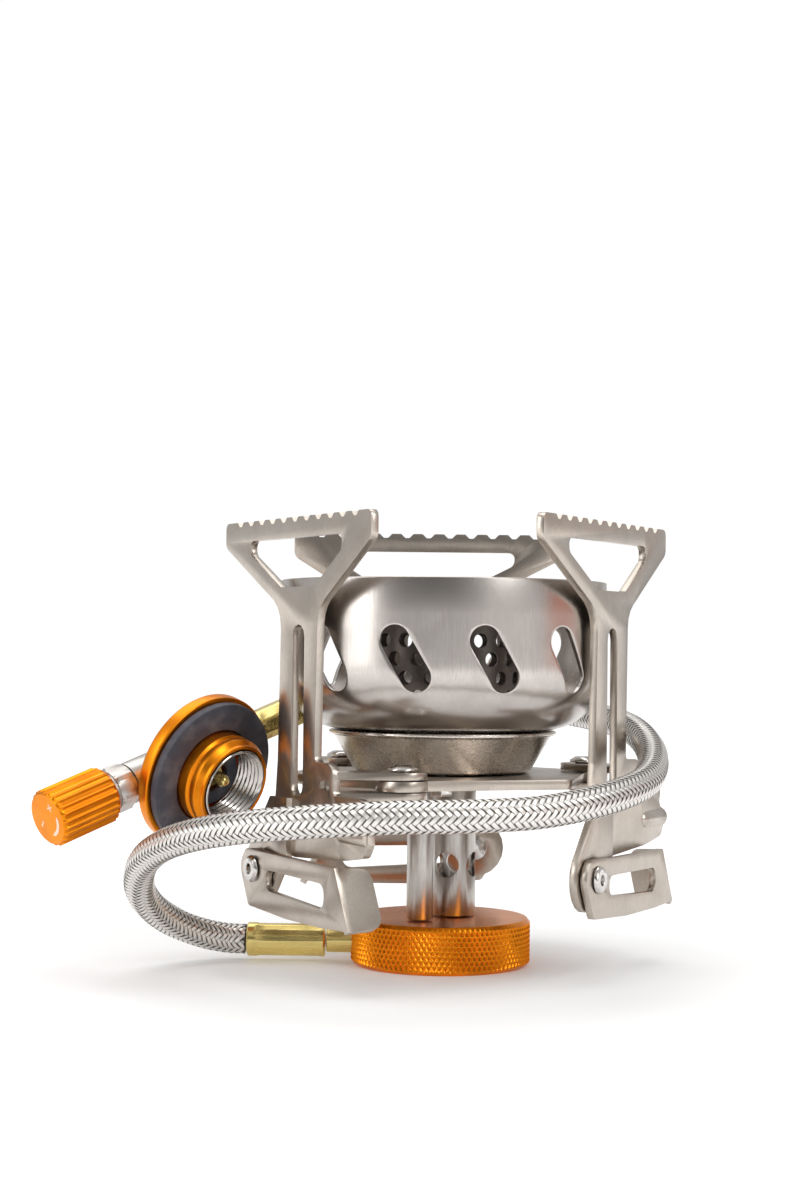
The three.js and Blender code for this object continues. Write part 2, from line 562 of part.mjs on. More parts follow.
function addCanisterSeat() {
  const { r, face, floor, top } = flange;
  const foot0 = valve.bossH + GAP;
  const bore = insert.r + GAP;
  const bossR = bore + flange.bossWall;
  const pinHole = pin.r + GAP;
  const flangeProfile = [
    [pinHole, foot0], [r - 0.5, foot0], [r, foot0 + 0.7], [r, face], [bossR, face], [bossR, top - 1.6],
    [bossR - 0.75, top - 0.9], [bossR - 1.05, top], [bore, top], [bore, floor], [pinHole, floor],
  ];
  add('valve_flange', flangeRing(flangeProfile, 36), 'orange');

  const ring = (inner, outer, z0, z1) => [[inner, z0], [outer, z0], [outer, z1], [inner, z1]];
  const gasketFoot = face + GAP;
  const gasketProfile = ring(bossR + GAP, r - gasket.inset, gasketFoot, gasketFoot + gasket.h);
  add('flange_gasket', flangeRing(gasketProfile, 36), 'rubber');
  const seat = floor + GAP;
  const insertHole = insert.r - insert.wall;
  add('threaded_insert', flangeRing(ring(insertHole, insert.r, seat, top + GAP), 28), 'nickel');
  add('inner_seal', flangeRing(ring(seal.holeR, insertHole - seal.clear, seat, seat + seal.h), 24), 'rubber');
  add('opening_pin', join(
    onFlangeAxis(pin.r, pin.r, valve.bossH + 0.4, pin.to - 1, 16),
    onFlangeAxis(pin.collarR, pin.collarR, seat, seat + pin.collarH, 20),
    onFlangeAxis(pin.r, pin.r - 0.6, pin.to - 1, pin.to, 16),
  ), 'brass');
}

// ---------- hose: out of the inlet, round the front, behind the stove and into the valve ----------
const HOSE_POINTS = [
  [-43.5, 0, 4.7], [-48, 0, 4.9], [-53.2, -2.2, 6.2], [-58.5, -7, 9], [-62.6, -14, 13.2],
  [-64.2, -22, 18.2], [-62.4, -32, 24.2], [-57.9, -41, 28.6], [-50.2, -51, 32.2], [-38.6, -61, 35],
  [-27.2, -66.5, 36.5], [-16.6, -69, 37.4], [-7.5, -69.7, 38], [2.5, -69.2, 38.2], [9.8, -67.8, 38.4],
  [19, -63.8, 38.8], [28.2, -57.3, 40], [36.5, -47.5, 41.6], [41.9, -37, 43.4], [44.6, -25, 46],
  [45.2, -12.5, 48.8], [43.8, -2, 51.4], [41.2, 10, 53.2], [37.2, 22, 54.2], [31.5, 32.5, 55.2],
  [20, 42.5, 56.8], [4, 47, 58], [-12, 46, 58.6], [-24.5, 38, 58.4], [-30.5, 27.5, 57.6],
];

function addHose() {
  const end = valve.half + GAP + valve.sleeve + GAP;
  const intoValve = [end + 1.7, end].map((back) => valveMiddle.clone().addScaledVector(toKnob, -back));
  const stops = [...HOSE_POINTS.map((point) => vector(...point)), ...intoValve];
  const extrudePath = new THREE.CatmullRomCurve3(stops, false, 'centripetal');
  const section = new THREE.Shape(circle(0, 0, hose.r, hose.sides).map(([x, y]) => new THREE.Vector2(x, y)));
  const options = { steps: hose.steps, extrudePath, bevelEnabled: false };
  add('braided_hose', new THREE.ExtrudeGeometry(section, options), 'braid');
}

addBase();
addPillars();
addHub();
addDish();
addBowl();
addBurner();
legs.forEach(([name, azimuth], i) => {
  addSupport(name, azimuth);
  addPivotRivet(name, pivots[i]);
  addFoot(name, azimuth);
  addFootRivet(name, azimuth);
});
addInlet();
addValveBody();
addKnob();
addCanisterSeat();
addHose();

export default group;
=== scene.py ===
# %% [markdown]
# # A folding gas stove on a braided hose
#
# The stove stands folded for its bag: three pot supports swung in against a steel wind bowl, a knurled
# orange base disc, and a steel-braided hose that runs from the base, once round the stove, to a small
# valve. Every size below is in millimetres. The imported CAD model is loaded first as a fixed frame, and
# each finer piece takes its place and its main sizes from it.

# %% The fixed frame
import json
import math

import bmesh
import bpy
import numpy as np
from mathutils import Matrix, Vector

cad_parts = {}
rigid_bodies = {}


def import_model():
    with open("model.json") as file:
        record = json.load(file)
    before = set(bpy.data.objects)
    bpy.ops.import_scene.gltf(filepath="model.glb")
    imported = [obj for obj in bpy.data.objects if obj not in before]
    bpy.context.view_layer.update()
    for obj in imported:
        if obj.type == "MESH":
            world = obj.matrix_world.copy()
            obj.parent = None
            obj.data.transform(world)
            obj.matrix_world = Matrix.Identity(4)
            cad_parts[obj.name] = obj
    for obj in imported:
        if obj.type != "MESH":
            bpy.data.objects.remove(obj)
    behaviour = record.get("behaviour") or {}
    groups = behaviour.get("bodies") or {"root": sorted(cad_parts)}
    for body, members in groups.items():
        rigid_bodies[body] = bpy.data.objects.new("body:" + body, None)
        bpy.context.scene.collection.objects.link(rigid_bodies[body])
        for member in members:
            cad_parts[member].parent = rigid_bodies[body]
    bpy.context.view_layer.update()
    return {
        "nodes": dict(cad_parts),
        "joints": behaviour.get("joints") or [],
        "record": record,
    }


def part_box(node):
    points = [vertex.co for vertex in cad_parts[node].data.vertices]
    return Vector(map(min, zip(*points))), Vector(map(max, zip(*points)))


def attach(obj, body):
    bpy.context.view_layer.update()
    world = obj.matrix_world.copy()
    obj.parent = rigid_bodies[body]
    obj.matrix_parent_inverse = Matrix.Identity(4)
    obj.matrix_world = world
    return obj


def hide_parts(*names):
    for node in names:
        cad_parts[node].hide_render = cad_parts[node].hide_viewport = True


MM = 0.001
for leftover in list(bpy.data.objects):
    bpy.data.objects.remove(leftover)
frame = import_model()
nodes = frame["nodes"]


def points(node):
    """Every corner of a CAD node in millimetres, as an array of rows x, y, z."""
    mesh = nodes[node].data
    flat = np.empty(len(mesh.vertices) * 3)
    mesh.vertices.foreach_get("co", flat)
    return flat.reshape(-1, 3) / MM


def unit(vector):
    """A vector, or each row of an array, divided by its own length."""
    vector = np.asarray(vector, float)
    return vector / np.linalg.norm(vector, axis=-1, keepdims=True)


def placed(name, data):
    """A new object in the scene, holding a mesh, a light or a camera."""
    thing = bpy.data.objects.new(name, data)
    bpy.context.scene.collection.objects.link(thing)
    return thing


def stand(thing, at, right, up, back):
    """Stands a camera or a light at a point in millimetres; both look away from their back."""
    matrix = np.eye(4)
    matrix[:3] = np.column_stack([right, up, back, np.array(at) * MM])
    thing.matrix_world = Matrix(matrix.tolist())


# %% [markdown]
# ## The camera
#
# A camera is easiest to place by where it stands and which way it looks: yaw turns it left and right,
# pitch tips it up, and roll tilts its horizon. The lens stands low, a little above the wind bowl's
# middle, and almost half a metre in front, so that nearer things look larger in a natural way.

# %% Camera
CAMERA_AT = (0.9, -454.3, 69.8)
YAW, PITCH, ROLL = (math.radians(angle) for angle in (-1.35, 1.41, 0.6))
LENS = 60.7

ahead = np.array([math.sin(YAW) * math.cos(PITCH), math.cos(YAW) * math.cos(PITCH), math.sin(PITCH)])
level = np.array([math.cos(YAW), -math.sin(YAW), 0.0])
upward = np.cross(level, ahead)
side = level * math.cos(ROLL) + upward * math.sin(ROLL)
top = upward * math.cos(ROLL) - level * math.sin(ROLL)

camera = placed("camera", bpy.data.cameras.new("camera"))
bpy.context.scene.camera = camera
camera.data.lens = LENS
camera.data.clip_start = 10 * MM
stand(camera, CAMERA_AT, side, top, -ahead)
print("camera looks along", ahead.round(3))

# %% [markdown]
# ## Surfaces from arrays
#
# Nearly every piece here is a grid of points bent into shape: rows run one way over the surface and
# columns the other. Joining the last column to the first makes a tube, and joining the last row to the
# first makes a ring with a wall. A row that shrinks to one point closes an end. Working out the whole
# grid at once with numpy is quick and keeps the formula in one place.

# %% Grids to meshes
SMOOTH_BELOW = math.radians(32)
SAME_POINT = 0.002


def quads_of(rows, columns, around, ring):
    """Corner numbers of every square of a grid, with its edges joined where asked."""
    index = np.arange(rows * columns).reshape(rows, columns)
    if ring:
        index = np.vstack([index, index[:1]])
    if around:
        index = np.hstack([index, index[:, :1]])
    corners = [index[:-1, :-1], index[:-1, 1:], index[1:, 1:], index[1:, :-1]]
    return np.stack(corners, axis=-1).reshape(-1, 4)


def joined(grids, around, ring):
    """The corners and squares of several grids, numbered as one mesh."""
    starts = np.cumsum([0] + [grid.shape[0] * grid.shape[1] for grid in grids])
    faces = [quads_of(*grid.shape[:2], around, ring) + start for grid, start in zip(grids, starts)]
    return np.vstack([grid.reshape(-1, 3) for grid in grids]), np.vstack(faces)


def volume(corners, faces):
    """The volume inside a closed mesh: the sum of the cones from the origin to its faces."""
    a, b, c, d = (corners[faces[:, i]] for i in range(4))
    cones = np.einsum("ij,ij->i", a, np.cross(b, c)) + np.einsum("ij,ij->i", a, np.cross(c, d))
    return cones.sum() / 6


def build(name, grid, ring=False):
    """One mesh object from a grid of points in millimetres, its faces turned outwards."""
    corners, faces = joined([grid], True, ring)
    if volume(corners, faces) < 0:
        faces = faces[:, ::-1]
    mesh = bpy.data.meshes.new(name)
    mesh.from_pydata(corners * MM, [], faces)
    return weld(name, mesh)


def weld(name, mesh):
    """Merges the points that meet at poles and seams, shades it smooth but for its real edges."""
    work = bmesh.new()
    work.from_mesh(mesh)
    bmesh.ops.remove_doubles(work, verts=work.verts, dist=SAME_POINT * MM)
    work.to_mesh(mesh)
    work.free()
    mesh.shade_smooth()
    mesh.set_sharp_from_angle(angle=SMOOTH_BELOW)
    return placed(name, mesh)


# %% [markdown]
# ## Rounded outlines and turned pieces
#
# A lathe part is a profile of radius and height spun round an axis. Real edges are never razor sharp,
# and the thin bright line that a rounded edge catches is what makes metal look machined. So each corner
# of a profile is swapped for an exact arc, written as a weighted parabola between its two tangents.

# %% Arcs in corners and turning
ARC = np.linspace(0, 1, 5)


def soft(corners, radius):
    """An outline with each corner replaced by an arc. radius is one number or one for each corner."""
    here = np.asarray(corners, float)
    back, on = np.roll(here, 1, 0) - here, np.roll(here, -1, 0) - here
    back_long, on_long = np.linalg.norm(back, axis=1), np.linalg.norm(on, axis=1)
    back, on = back / back_long[:, None], on / on_long[:, None]
    half = np.arccos(np.clip((back * on).sum(1), -1, 1)) / 2
    radius = np.broadcast_to(np.asarray(radius, float), half.shape)
    trim = np.minimum(radius / np.tan(half), 0.49 * np.minimum(back_long, on_long))[:, None]
    first, last = here + back * trim, here + on * trim
    t, weight = ARC[None, :, None], np.sin(half)[:, None, None]
    shares = (1 - t) ** 2, 2 * weight * t * (1 - t), t**2
    arc = shares[0] * first[:, None] + shares[1] * here[:, None] + shares[2] * last[:, None]
    return (arc / sum(shares)).reshape(-1, 2)


def axes(origin, along, near=(0.0, 0.0, 1.0)):
    """A place to build at: a point, and three unit rows, the last along the given direction."""
    along = unit(along)
    first = unit(np.asarray(near) - along * np.dot(near, along))
    return np.asarray(origin, float), np.array([first, np.cross(along, first), along])


UPRIGHT = axes((0, 0, 0), (0, 0, 1), (1, 0, 0))


def full_turn(sides):
    """Angles spaced evenly round a full turn."""
    return np.arange(sides) / sides * 2 * math.pi


def round_axis(radius, angle, height, at=UPRIGHT):
    """Points about an axis, each at x = radius cos(angle), y = radius sin(angle), z = height."""
    local = np.stack(np.broadcast_arrays(radius * np.cos(angle), radius * np.sin(angle), height), -1)
    return at[0] + local @ at[1]


def spun(profile, at=UPRIGHT, sides=128):
    """A profile of (radius, height) spun round an axis."""
    radius, height = np.asarray(profile).T[:, :, None]
    return round_axis(radius, full_turn(sides), height, at)


def turned(name, corners, at=UPRIGHT, radius=0.25, sides=128):
    """A closed ring profile with rounded corners, spun round an axis."""
    return build(name, spun(soft(corners, radius), at, sides), ring=True)


FLAT_WITHIN = math.radians(0.5)


def fine_copy(node, edge):
    """A CAD piece with its loose triangles merged, flat faces made whole and its edges rounded."""
    name = node + "_fine"
    mesh = nodes[node].data.copy()
    mesh.materials.clear()
    work = bmesh.new()
    work.from_mesh(mesh)
    bmesh.ops.remove_doubles(work, verts=work.verts, dist=SAME_POINT * MM)
    bmesh.ops.dissolve_limit(work, angle_limit=FLAT_WITHIN, verts=work.verts, edges=work.edges)
    work.to_mesh(mesh)
    work.free()
    mesh.shade_smooth()
    piece = placed(name, mesh)
    bevel = piece.modifiers.new("rounded edges", "BEVEL")
    bevel.width = edge * MM
    bevel.segments = 2
    bevel.limit_method = "ANGLE"
    bevel.angle_limit = SMOOTH_BELOW
    bevel.harden_normals = True
    bevel.use_clamp_overlap = True
    return piece


# %% [markdown]
# ## Shader maths as Python
#
# A material's pattern is arithmetic on the position of each point. Wrapping a socket in a small class
# lets that arithmetic be written as it would be on paper, with + and *, and each sign adds one node.

# %% Shader values
class Value:
    """A number that flows between nodes. Its operators add Math nodes."""

    def __init__(self, finish, socket):
        self.finish, self.socket = finish, socket

    def math(self, operation, *others):
        return self.finish.node("Math", {"operation": operation}, dict(enumerate([self, *others])))

    def __add__(self, other):
        return self.math("ADD", other)

    def __sub__(self, other):
        return self.math("SUBTRACT", other)

    def __rsub__(self, other):
        return self * -1.0 + other

    def __mul__(self, other):
        return self.math("MULTIPLY", other)

    __radd__, __rmul__ = __add__, __mul__

    def between(self, low, high):
        """0 below low, 1 above high, and a smooth slope from one to the other."""
        values = {"Value": self, "From Min": low, "From Max": high}
        return self.finish.node("MapRange", {"interpolation_type": "SMOOTHSTEP"}, values)


class Finish:
    """A material, or the world's air, under construction, with one method that adds any node."""

    def __init__(self, name, block=None, shader="Principled BSDF"):
        self.material = block or bpy.data.materials.new(name)
        self.material.use_nodes = True
        self.tree = self.material.node_tree
        self.shader = self.tree.nodes[shader]

    def node(self, kind, settings=None, sockets=None, out=0):
        """Adds a node, makes its settings first, then sets or links its sockets."""
        made = self.tree.nodes.new("ShaderNode" + kind)
        for key, value in (settings or {}).items():
            setattr(made, key, value)
        for key, value in (sockets or {}).items():
            self.feed(made.inputs[key], value)
        return Value(self, made.outputs[out])

    def feed(self, socket, value):
        """Links a Value to a socket, or sets a plain number or colour on it."""
        if isinstance(value, Value):
            self.tree.links.new(value.socket, socket)
        elif isinstance(value, tuple) and len(value) == 3 and socket.type == "RGBA":
            socket.default_value = (*value, 1.0)
        else:
            socket.default_value = value

    def surface(self, **sockets):
        """Feeds the shader: base_color=..., roughness=... and so on."""
        for key, value in sockets.items():
            self.feed(self.shader.inputs[key.replace("_", " ").title()], value)
        return self.material

    def position(self, stretch=(1, 1, 1)):
        """Where a point of the piece is, in millimetres, then stretched."""
        coordinates = self.node("TexCoord", out="Object")
        scale = tuple(1 / MM * s for s in stretch)
        return self.node("Mapping", {}, {"Vector": coordinates, "Scale": scale})

    def parts(self, vector, letters="XYZ"):
        """The numbers that a vector is made of."""
        return [self.node("SeparateXYZ", {}, {"Vector": vector}, out=letter) for letter in letters]

    def noise(self, vector, scale, detail=2.0, roughness=0.5):
        """Soft random values from 0 to 1 with lumps about 1/scale millimetres across."""
        sockets = {"Vector": vector, "Scale": scale, "Detail": detail, "Roughness": roughness}
        return self.node("TexNoise", {}, sockets)

    def mix(self, share, first, second):
        """Two colours mixed by a share from 0 to 1."""
        sockets = {"Factor": share, 6: first, 7: second}
        return self.node("Mix", {"data_type": "RGBA"}, sockets, out=2)

    def bump(self, height, depth):
        """A relief of the given depth in millimetres for heights from 0 to 1."""
        return self.node("Bump", {}, {"Height": height, "Distance": depth * MM, "Strength": 1.0})


# %% [markdown]
# ## Finishes
#
# **Brushed steel** is a mirror with thousands of fine scratches, all in one direction. Stretched noise
# gives them: it is squeezed across the scratches and drawn out along them, and it moves the roughness
# and a very shallow relief together. A slower noise adds the cloudiness of handling.

# %% Steel finishes
STEEL = (0.59, 0.545, 0.51)


def brushed_steel(name, stretch, rough, colour, depth):
    """Stainless steel. stretch is small along the scratches and large across them."""
    made = Finish(name)
    scratch = made.noise(made.position(stretch), 1.0, detail=3.0, roughness=0.6)
    cloud = made.noise(made.position(), 0.12, detail=3.0)
    dull = tuple(0.86 * c for c in colour)
    tint = made.mix(cloud.between(0.35, 0.7), colour, dull)
    shade = made.mix(scratch.between(0.3, 0.75) * 0.3, tint, tuple(0.55 * c for c in colour))
    return made.surface(
        base_color=shade,
        metallic=1.0,
        roughness=scratch * 0.1 + cloud * 0.06 + (rough - 0.08),
        normal=made.bump(scratch, depth),
    )


steel_upright = brushed_steel("steel_upright", (4.5, 4.5, 0.22), 0.25, STEEL, 0.004)
steel_satin = brushed_steel("steel_satin", (3.0, 3.0, 0.3), 0.34, (0.60, 0.565, 0.53), 0.004)
steel_sheet = brushed_steel("steel_sheet", (3.5, 3.5, 0.7), 0.3, (0.575, 0.51, 0.445), 0.0012)
steel_bright = brushed_steel("steel_bright", (1.5, 1.5, 1.5), 0.17, (0.72, 0.69, 0.66), 0.001)
steel_pressed = brushed_steel("steel_pressed", (1.5, 1.5, 1.5), 0.27, (0.80, 0.74, 0.68), 0.0012)
steel_burnt = brushed_steel("steel_burnt", (1.2, 1.2, 1.2), 0.38, (0.20, 0.175, 0.155), 0.01)

# %% [markdown]
# **Anodised aluminium** is metal under a clear dyed skin. The dye tints the reflection itself, so the
# colour sits in the metal's Base Color, and highlights go from deep orange to yellow by themselves.

# %% Anodised orange, brass, rubber and the rest
ORANGE = (0.93, 0.285, 0.012)


def anodised(name, rough=0.3):
    """Dyed aluminium with a faint fine grain from blasting before it was dyed."""
    made = Finish(name)
    grain = made.noise(made.position((6, 6, 6)), 1.0, detail=2.0)
    cloud = made.noise(made.position(), 0.15)
    deep = tuple(0.82 * c for c in ORANGE)
    return made.surface(
        base_color=made.mix(cloud.between(0.3, 0.7), ORANGE, deep),
        metallic=1.0,
        roughness=grain * 0.1 + (rough - 0.05),
        normal=made.bump(grain, 0.004),
    )


def drawn_brass(name, stretch, colour=(0.88, 0.71, 0.27)):
    """Drawn brass: fine lines along the bar, a little brown where it has tarnished."""
    made = Finish(name)
    lines = made.noise(made.position(stretch), 1.0, detail=3.0)
    cloud = made.noise(made.position(), 0.25, detail=3.0)
    brown = tuple(0.62 * c for c in colour)
    tarnish = cloud.between(0.5, 0.8) * 0.4
    return made.surface(
        base_color=made.mix(tarnish, colour, brown),
        metallic=1.0,
        roughness=lines * 0.2 + 0.16,
        normal=made.bump(lines, 0.01),
    )


def gasket_rubber(name):
    """Pressed fibre and rubber: slate grey, rubbed paler in patches, with a dull shine."""
    made = Finish(name)
    fibre = made.noise(made.position(), 2.4, detail=5.0, roughness=0.65)
    rubbed = made.noise(made.position(), 0.22, detail=4.0)
    colour = made.mix(rubbed.between(0.4, 0.75), (0.050, 0.052, 0.068), (0.13, 0.12, 0.13))
    return made.surface(
        base_color=colour,
        roughness=fibre * 0.25 + 0.42,
        normal=made.bump(fibre, 0.03),
    )


orange = anodised("orange_anodised")
orange_knurl = anodised("orange_knurl", rough=0.26)
brass_level = drawn_brass("brass_level", (0.08, 3.0, 3.0))
rubber = gasket_rubber("gasket_rubber")

# %% [markdown]
# ## The hose
#
# The hose is one length of tube that nobody has cut: it leaves the base, loops forward and up, and goes once
# round the stove to the valve. Its route is a list of given points, with a centripetal Catmull-Rom curve
# through them, which never overshoots or kinks between uneven points.

# %% Route of the hose
ROUTE = np.array([
    (-43.5, 0, 4.7), (-48, 0, 4.9), (-53.2, -2.2, 6.2), (-58.5, -7, 9), (-62.6, -14, 13.2),
    (-64.2, -22, 18.2), (-62.4, -32, 24.2), (-57.9, -41, 28.6), (-50.2, -51, 32.2), (-38.6, -61, 35),
    (-27.2, -66.5, 36.5), (-16.6, -69, 37.4), (-7.5, -69.7, 38), (2.5, -69.2, 38.2), (9.8, -67.8, 38.4),
    (19, -63.8, 38.8), (28.2, -57.3, 40), (36.5, -47.5, 41.6), (41.9, -37, 43.4), (44.6, -25, 46),
    (45.2, -12.5, 48.8), (43.8, -2, 51.4), (41.2, 10, 53.2), (37.2, 22, 54.2), (31.5, 32.5, 55.2),
    (20, 42.5, 56.8), (4, 47, 58), (-12, 46, 58.6), (-24.5, 38, 58.4), (-30.5, 27.5, 57.6),
])
knob_joint = next(joint for joint in frame["joints"] if joint["name"] == "knob_turn")
seat = next(mount for mount in frame["record"]["mounts"] if mount["name"] == "canister_seat")
VALVE_MIDDLE = np.array(knob_joint["pos_m"]) / MM
TO_KNOB = -unit(knob_joint["axis"])
TO_SEAT = unit(seat["axis"])
ROUTE = np.vstack([ROUTE, VALVE_MIDDLE - 36.5 * TO_KNOB, VALVE_MIDDLE - 34.8 * TO_KNOB])


def catmull_rom(stops, steps=24):
    """A centripetal Catmull-Rom curve: each stretch blends its four nearest points in turn, with
    knots spaced by the square root of the distance between points."""
    ends = 2 * stops[0] - stops[1], 2 * stops[-1] - stops[-2]
    p = np.vstack([ends[0], stops, ends[1]])
    gap = np.sqrt(np.linalg.norm(np.diff(p, axis=0), axis=1))
    four = [p[i : len(p) - 3 + i][:, None] for i in range(4)]
    first, middle, last = (gap[i : len(gap) - 2 + i][:, None] for i in range(3))
    k0, k1, k2, k3 = 0 * first, first, first + middle, first + middle + last
    t = k1 + (k2 - k1) * np.linspace(0, 1, steps, endpoint=False)

    def blend(a, b, start, stop):
        share = ((t - start) / (stop - start))[..., None]
        return a * (1 - share) + b * share

    low = blend(four[0], four[1], k0, k1), blend(four[1], four[2], k1, k2), blend(four[2], four[3], k2, k3)
    mid = blend(low[0], low[1], k0, k2), blend(low[1], low[2], k1, k3)
    return np.vstack([blend(mid[0], mid[1], k1, k2).reshape(-1, 3), stops[-1]])


curve = catmull_rom(ROUTE)
walked = np.concatenate([[0], np.cumsum(np.linalg.norm(np.diff(curve, axis=0), axis=1))])
HOSE_LENGTH = walked[-1]
print("the hose is", round(HOSE_LENGTH, 1), "mm long")


def along_hose(distance):
    """Centre and two crosswise directions of the hose at distances along it. The first direction is
    straight up made square to the hose, so the frame never twists."""
    distance = np.clip(distance, 0, HOSE_LENGTH)

    def at(s):
        return np.stack([np.interp(s, walked, curve[:, i]) for i in range(3)], -1)

    centre = at(distance)
    tangent = unit(at(np.clip(distance + 0.4, 0, HOSE_LENGTH)) - at(np.clip(distance - 0.4, 0, HOSE_LENGTH)))
    first = unit(np.array([0, 0, 1.0]) - tangent * tangent[..., 2:])
    return centre, first, np.cross(tangent, first)


def on_hose(distance, angle, radius):
    """Points at a distance along the hose, an angle round it and a radius from its centre."""
    centre, first, second = along_hose(distance)
    cosine, sine = (np.asarray(f(angle) * radius)[..., None] for f in (np.cos, np.sin))
    return centre + first * cosine + second * sine


# %% [markdown]
# The braid is real woven wire: twelve flat bundles wind one way and twelve the other, and each passes
# over two and under two of the others. Whether a bundle is on top depends only on the angle round the
# hose, which is what makes the long rows of little arrowheads. Each bundle is a thin ribbon carried along
# a helix, its height a cosine of that angle. The rubber tube under it is the hose's own core.

# %% Core and braid of the hose
CORE_RADIUS = 2.85
BUNDLES = 12
BRAID_ANGLE = math.radians(47)
BUNDLE_WIDTH, BUNDLE_THICK = 0.96, 0.16
WEAVE_HEIGHT = 0.15
BRAID_MIDDLE = 3.08
RIBBON_SMOOTH_BELOW = math.radians(60)


def closing(ring):
    """A row whose points all lie at a ring's middle, which closes a tube there."""
    return np.repeat(ring.mean(0)[None, None], len(ring), axis=1)


def hose_core():
    """The tube under the braid: rings square to the route, closed by a point at each end."""
    steps, sides = 420, 24
    distance = np.linspace(0, HOSE_LENGTH, steps)[:, None]
    angle = np.linspace(0, 2 * math.pi, sides, endpoint=False)[None]
    rings = on_hose(distance + 0 * angle, angle + 0 * distance, CORE_RADIUS)
    return build("hose_core", np.concatenate([closing(rings[0]), rings, closing(rings[-1])]))


def braid(name, hand, samples=820):
    """The bundles of one hand. Across a bundle: moving by c changes the distance along the hose by
    -hand c sin(a) and the angle round it by c cos(a) / r, with a the braid angle."""
    outline = np.array([(-0.5, -0.5), (-0.5, 0.25), (-0.2, 0.5), (0.2, 0.5), (0.5, 0.25), (0.5, -0.5)])
    across, height = outline[:, 0] * BUNDLE_WIDTH, outline[:, 1] * BUNDLE_THICK
    distance = np.linspace(0, HOSE_LENGTH, samples)[:, None]
    grids, uvs = [], []
    for bundle in range(BUNDLES):
        turn = hand * np.tan(BRAID_ANGLE) / BRAID_MIDDLE * distance + 2 * math.pi * bundle / BUNDLES
        over = np.cos((turn * BUNDLES / math.pi - 0.5) * math.pi / 2) * hand
        s = distance - hand * across * math.sin(BRAID_ANGLE)
        angle = turn + across * math.cos(BRAID_ANGLE) / BRAID_MIDDLE
        radius = BRAID_MIDDLE + WEAVE_HEIGHT * over + height
        grids.append(on_hose(s, angle, radius).transpose(1, 0, 2))
        uvs.append(np.stack(np.broadcast_arrays(outline[:, 0] + 0.5, over / 2 + 0.5), -1).transpose(1, 0, 2))
    return braid_mesh(name, grids, uvs)


def braid_mesh(name, grids, uvs):
    """Joins the ribbons of one hand: each is a tube round its outline, closed at both ends."""
    corners, faces = joined(grids, False, True)
    caps = []
    for bundle, grid in enumerate(grids):
        rows, columns = grid.shape[:2]
        first = bundle * rows * columns + np.arange(rows) * columns
        caps += [first.tolist(), (first + columns - 1)[::-1].tolist()]
    if volume(corners, faces) < 0:
        faces, caps = faces[:, ::-1], [cap[::-1] for cap in caps]
    mesh = bpy.data.meshes.new(name)
    mesh.from_pydata(corners * MM, [], faces.tolist() + [cap[::-1] for cap in caps])
    layer = mesh.uv_layers.new(name="UVMap")
    loops = np.empty(len(mesh.loops), int)
    mesh.loops.foreach_get("vertex_index", loops)
    layer.data.foreach_set("uv", np.vstack([uv.reshape(-1, 2) for uv in uvs])[loops].ravel())
    mesh.shade_smooth()
    mesh.set_sharp_from_angle(angle=RIBBON_SMOOTH_BELOW)
    return placed(name, mesh)


def braid_wire(name):
    """Bright steel wire: six wires side by side in each bundle, as ridges across its width. The colour
    darkens towards a bundle's edges and where it dives under another: painted shade for the crevices between
    the bundles."""
    made = Finish(name)
    across, over = made.parts(made.node("TexCoord", out="UV"), "XY")
    ridge = (across * (6 * math.pi)).math("SINE").math("ABSOLUTE")
    from_edge = 0.5 - (across - 0.5).math("ABSOLUTE")
    # Painted shade: the colour goes dark (0.16, 0.145, 0.13) towards each bundle's edges and where it dives
    # under another, in the crevices of the weave.
    unshaded = from_edge.between(0.0, 0.22) * over.between(0.12, 0.6)
    return made.surface(
        base_color=made.mix(unshaded, (0.16, 0.145, 0.13), (0.83, 0.80, 0.765)),
        metallic=1.0,
        roughness=0.3,
        normal=made.bump(ridge, 0.02),
    )


wire = braid_wire("braid_wire")


def finished(piece, material, node=None, body="stove"):
    """Gives a piece its material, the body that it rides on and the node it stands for."""
    piece.data.materials.clear()
    piece.data.materials.append(material)
    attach(piece, body)
    if node:
        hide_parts(node)
    print(f"{piece.name}: {len(piece.data.polygons)} faces, rides on {body}")
    return piece


def refined(node, edge, material, body="stove"):
    """Stands a merged copy with rounded edges in for a CAD piece whose shape is right."""
    return finished(fine_copy(node, edge), material, node, body)


core = finished(hose_core(), rubber, "braided_hose")
right_hand = finished(braid("hose_braid_right", 1), wire)
left_hand = finished(braid("hose_braid_left", -1), wire)
(curve[::4] * MM).tolist()

# %% [markdown]
# ## Base disc
#
# The disc that the stove stands on is turned from bar and knurled, so that it can be gripped. A knurl is
# two sets of slanting grooves that cross. The height over the band is the smaller of two triangle waves,
# one for each set, so what stands between the grooves is a row of small pyramids.

# %% Knurled disc
KNURL_TEETH, KNURL_DEPTH, KNURL_SLANT = 104, 0.34, math.radians(30)


def size_of(node):
    """Lowest corner and highest corner of a CAD node in millimetres."""
    low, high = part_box(node)
    return np.array(low) / MM, np.array(high) / MM


def saw(x):
    """A triangle wave: 1 at whole numbers and 0 halfway between them."""
    return np.abs(2 * (x - np.floor(x)) - 1)


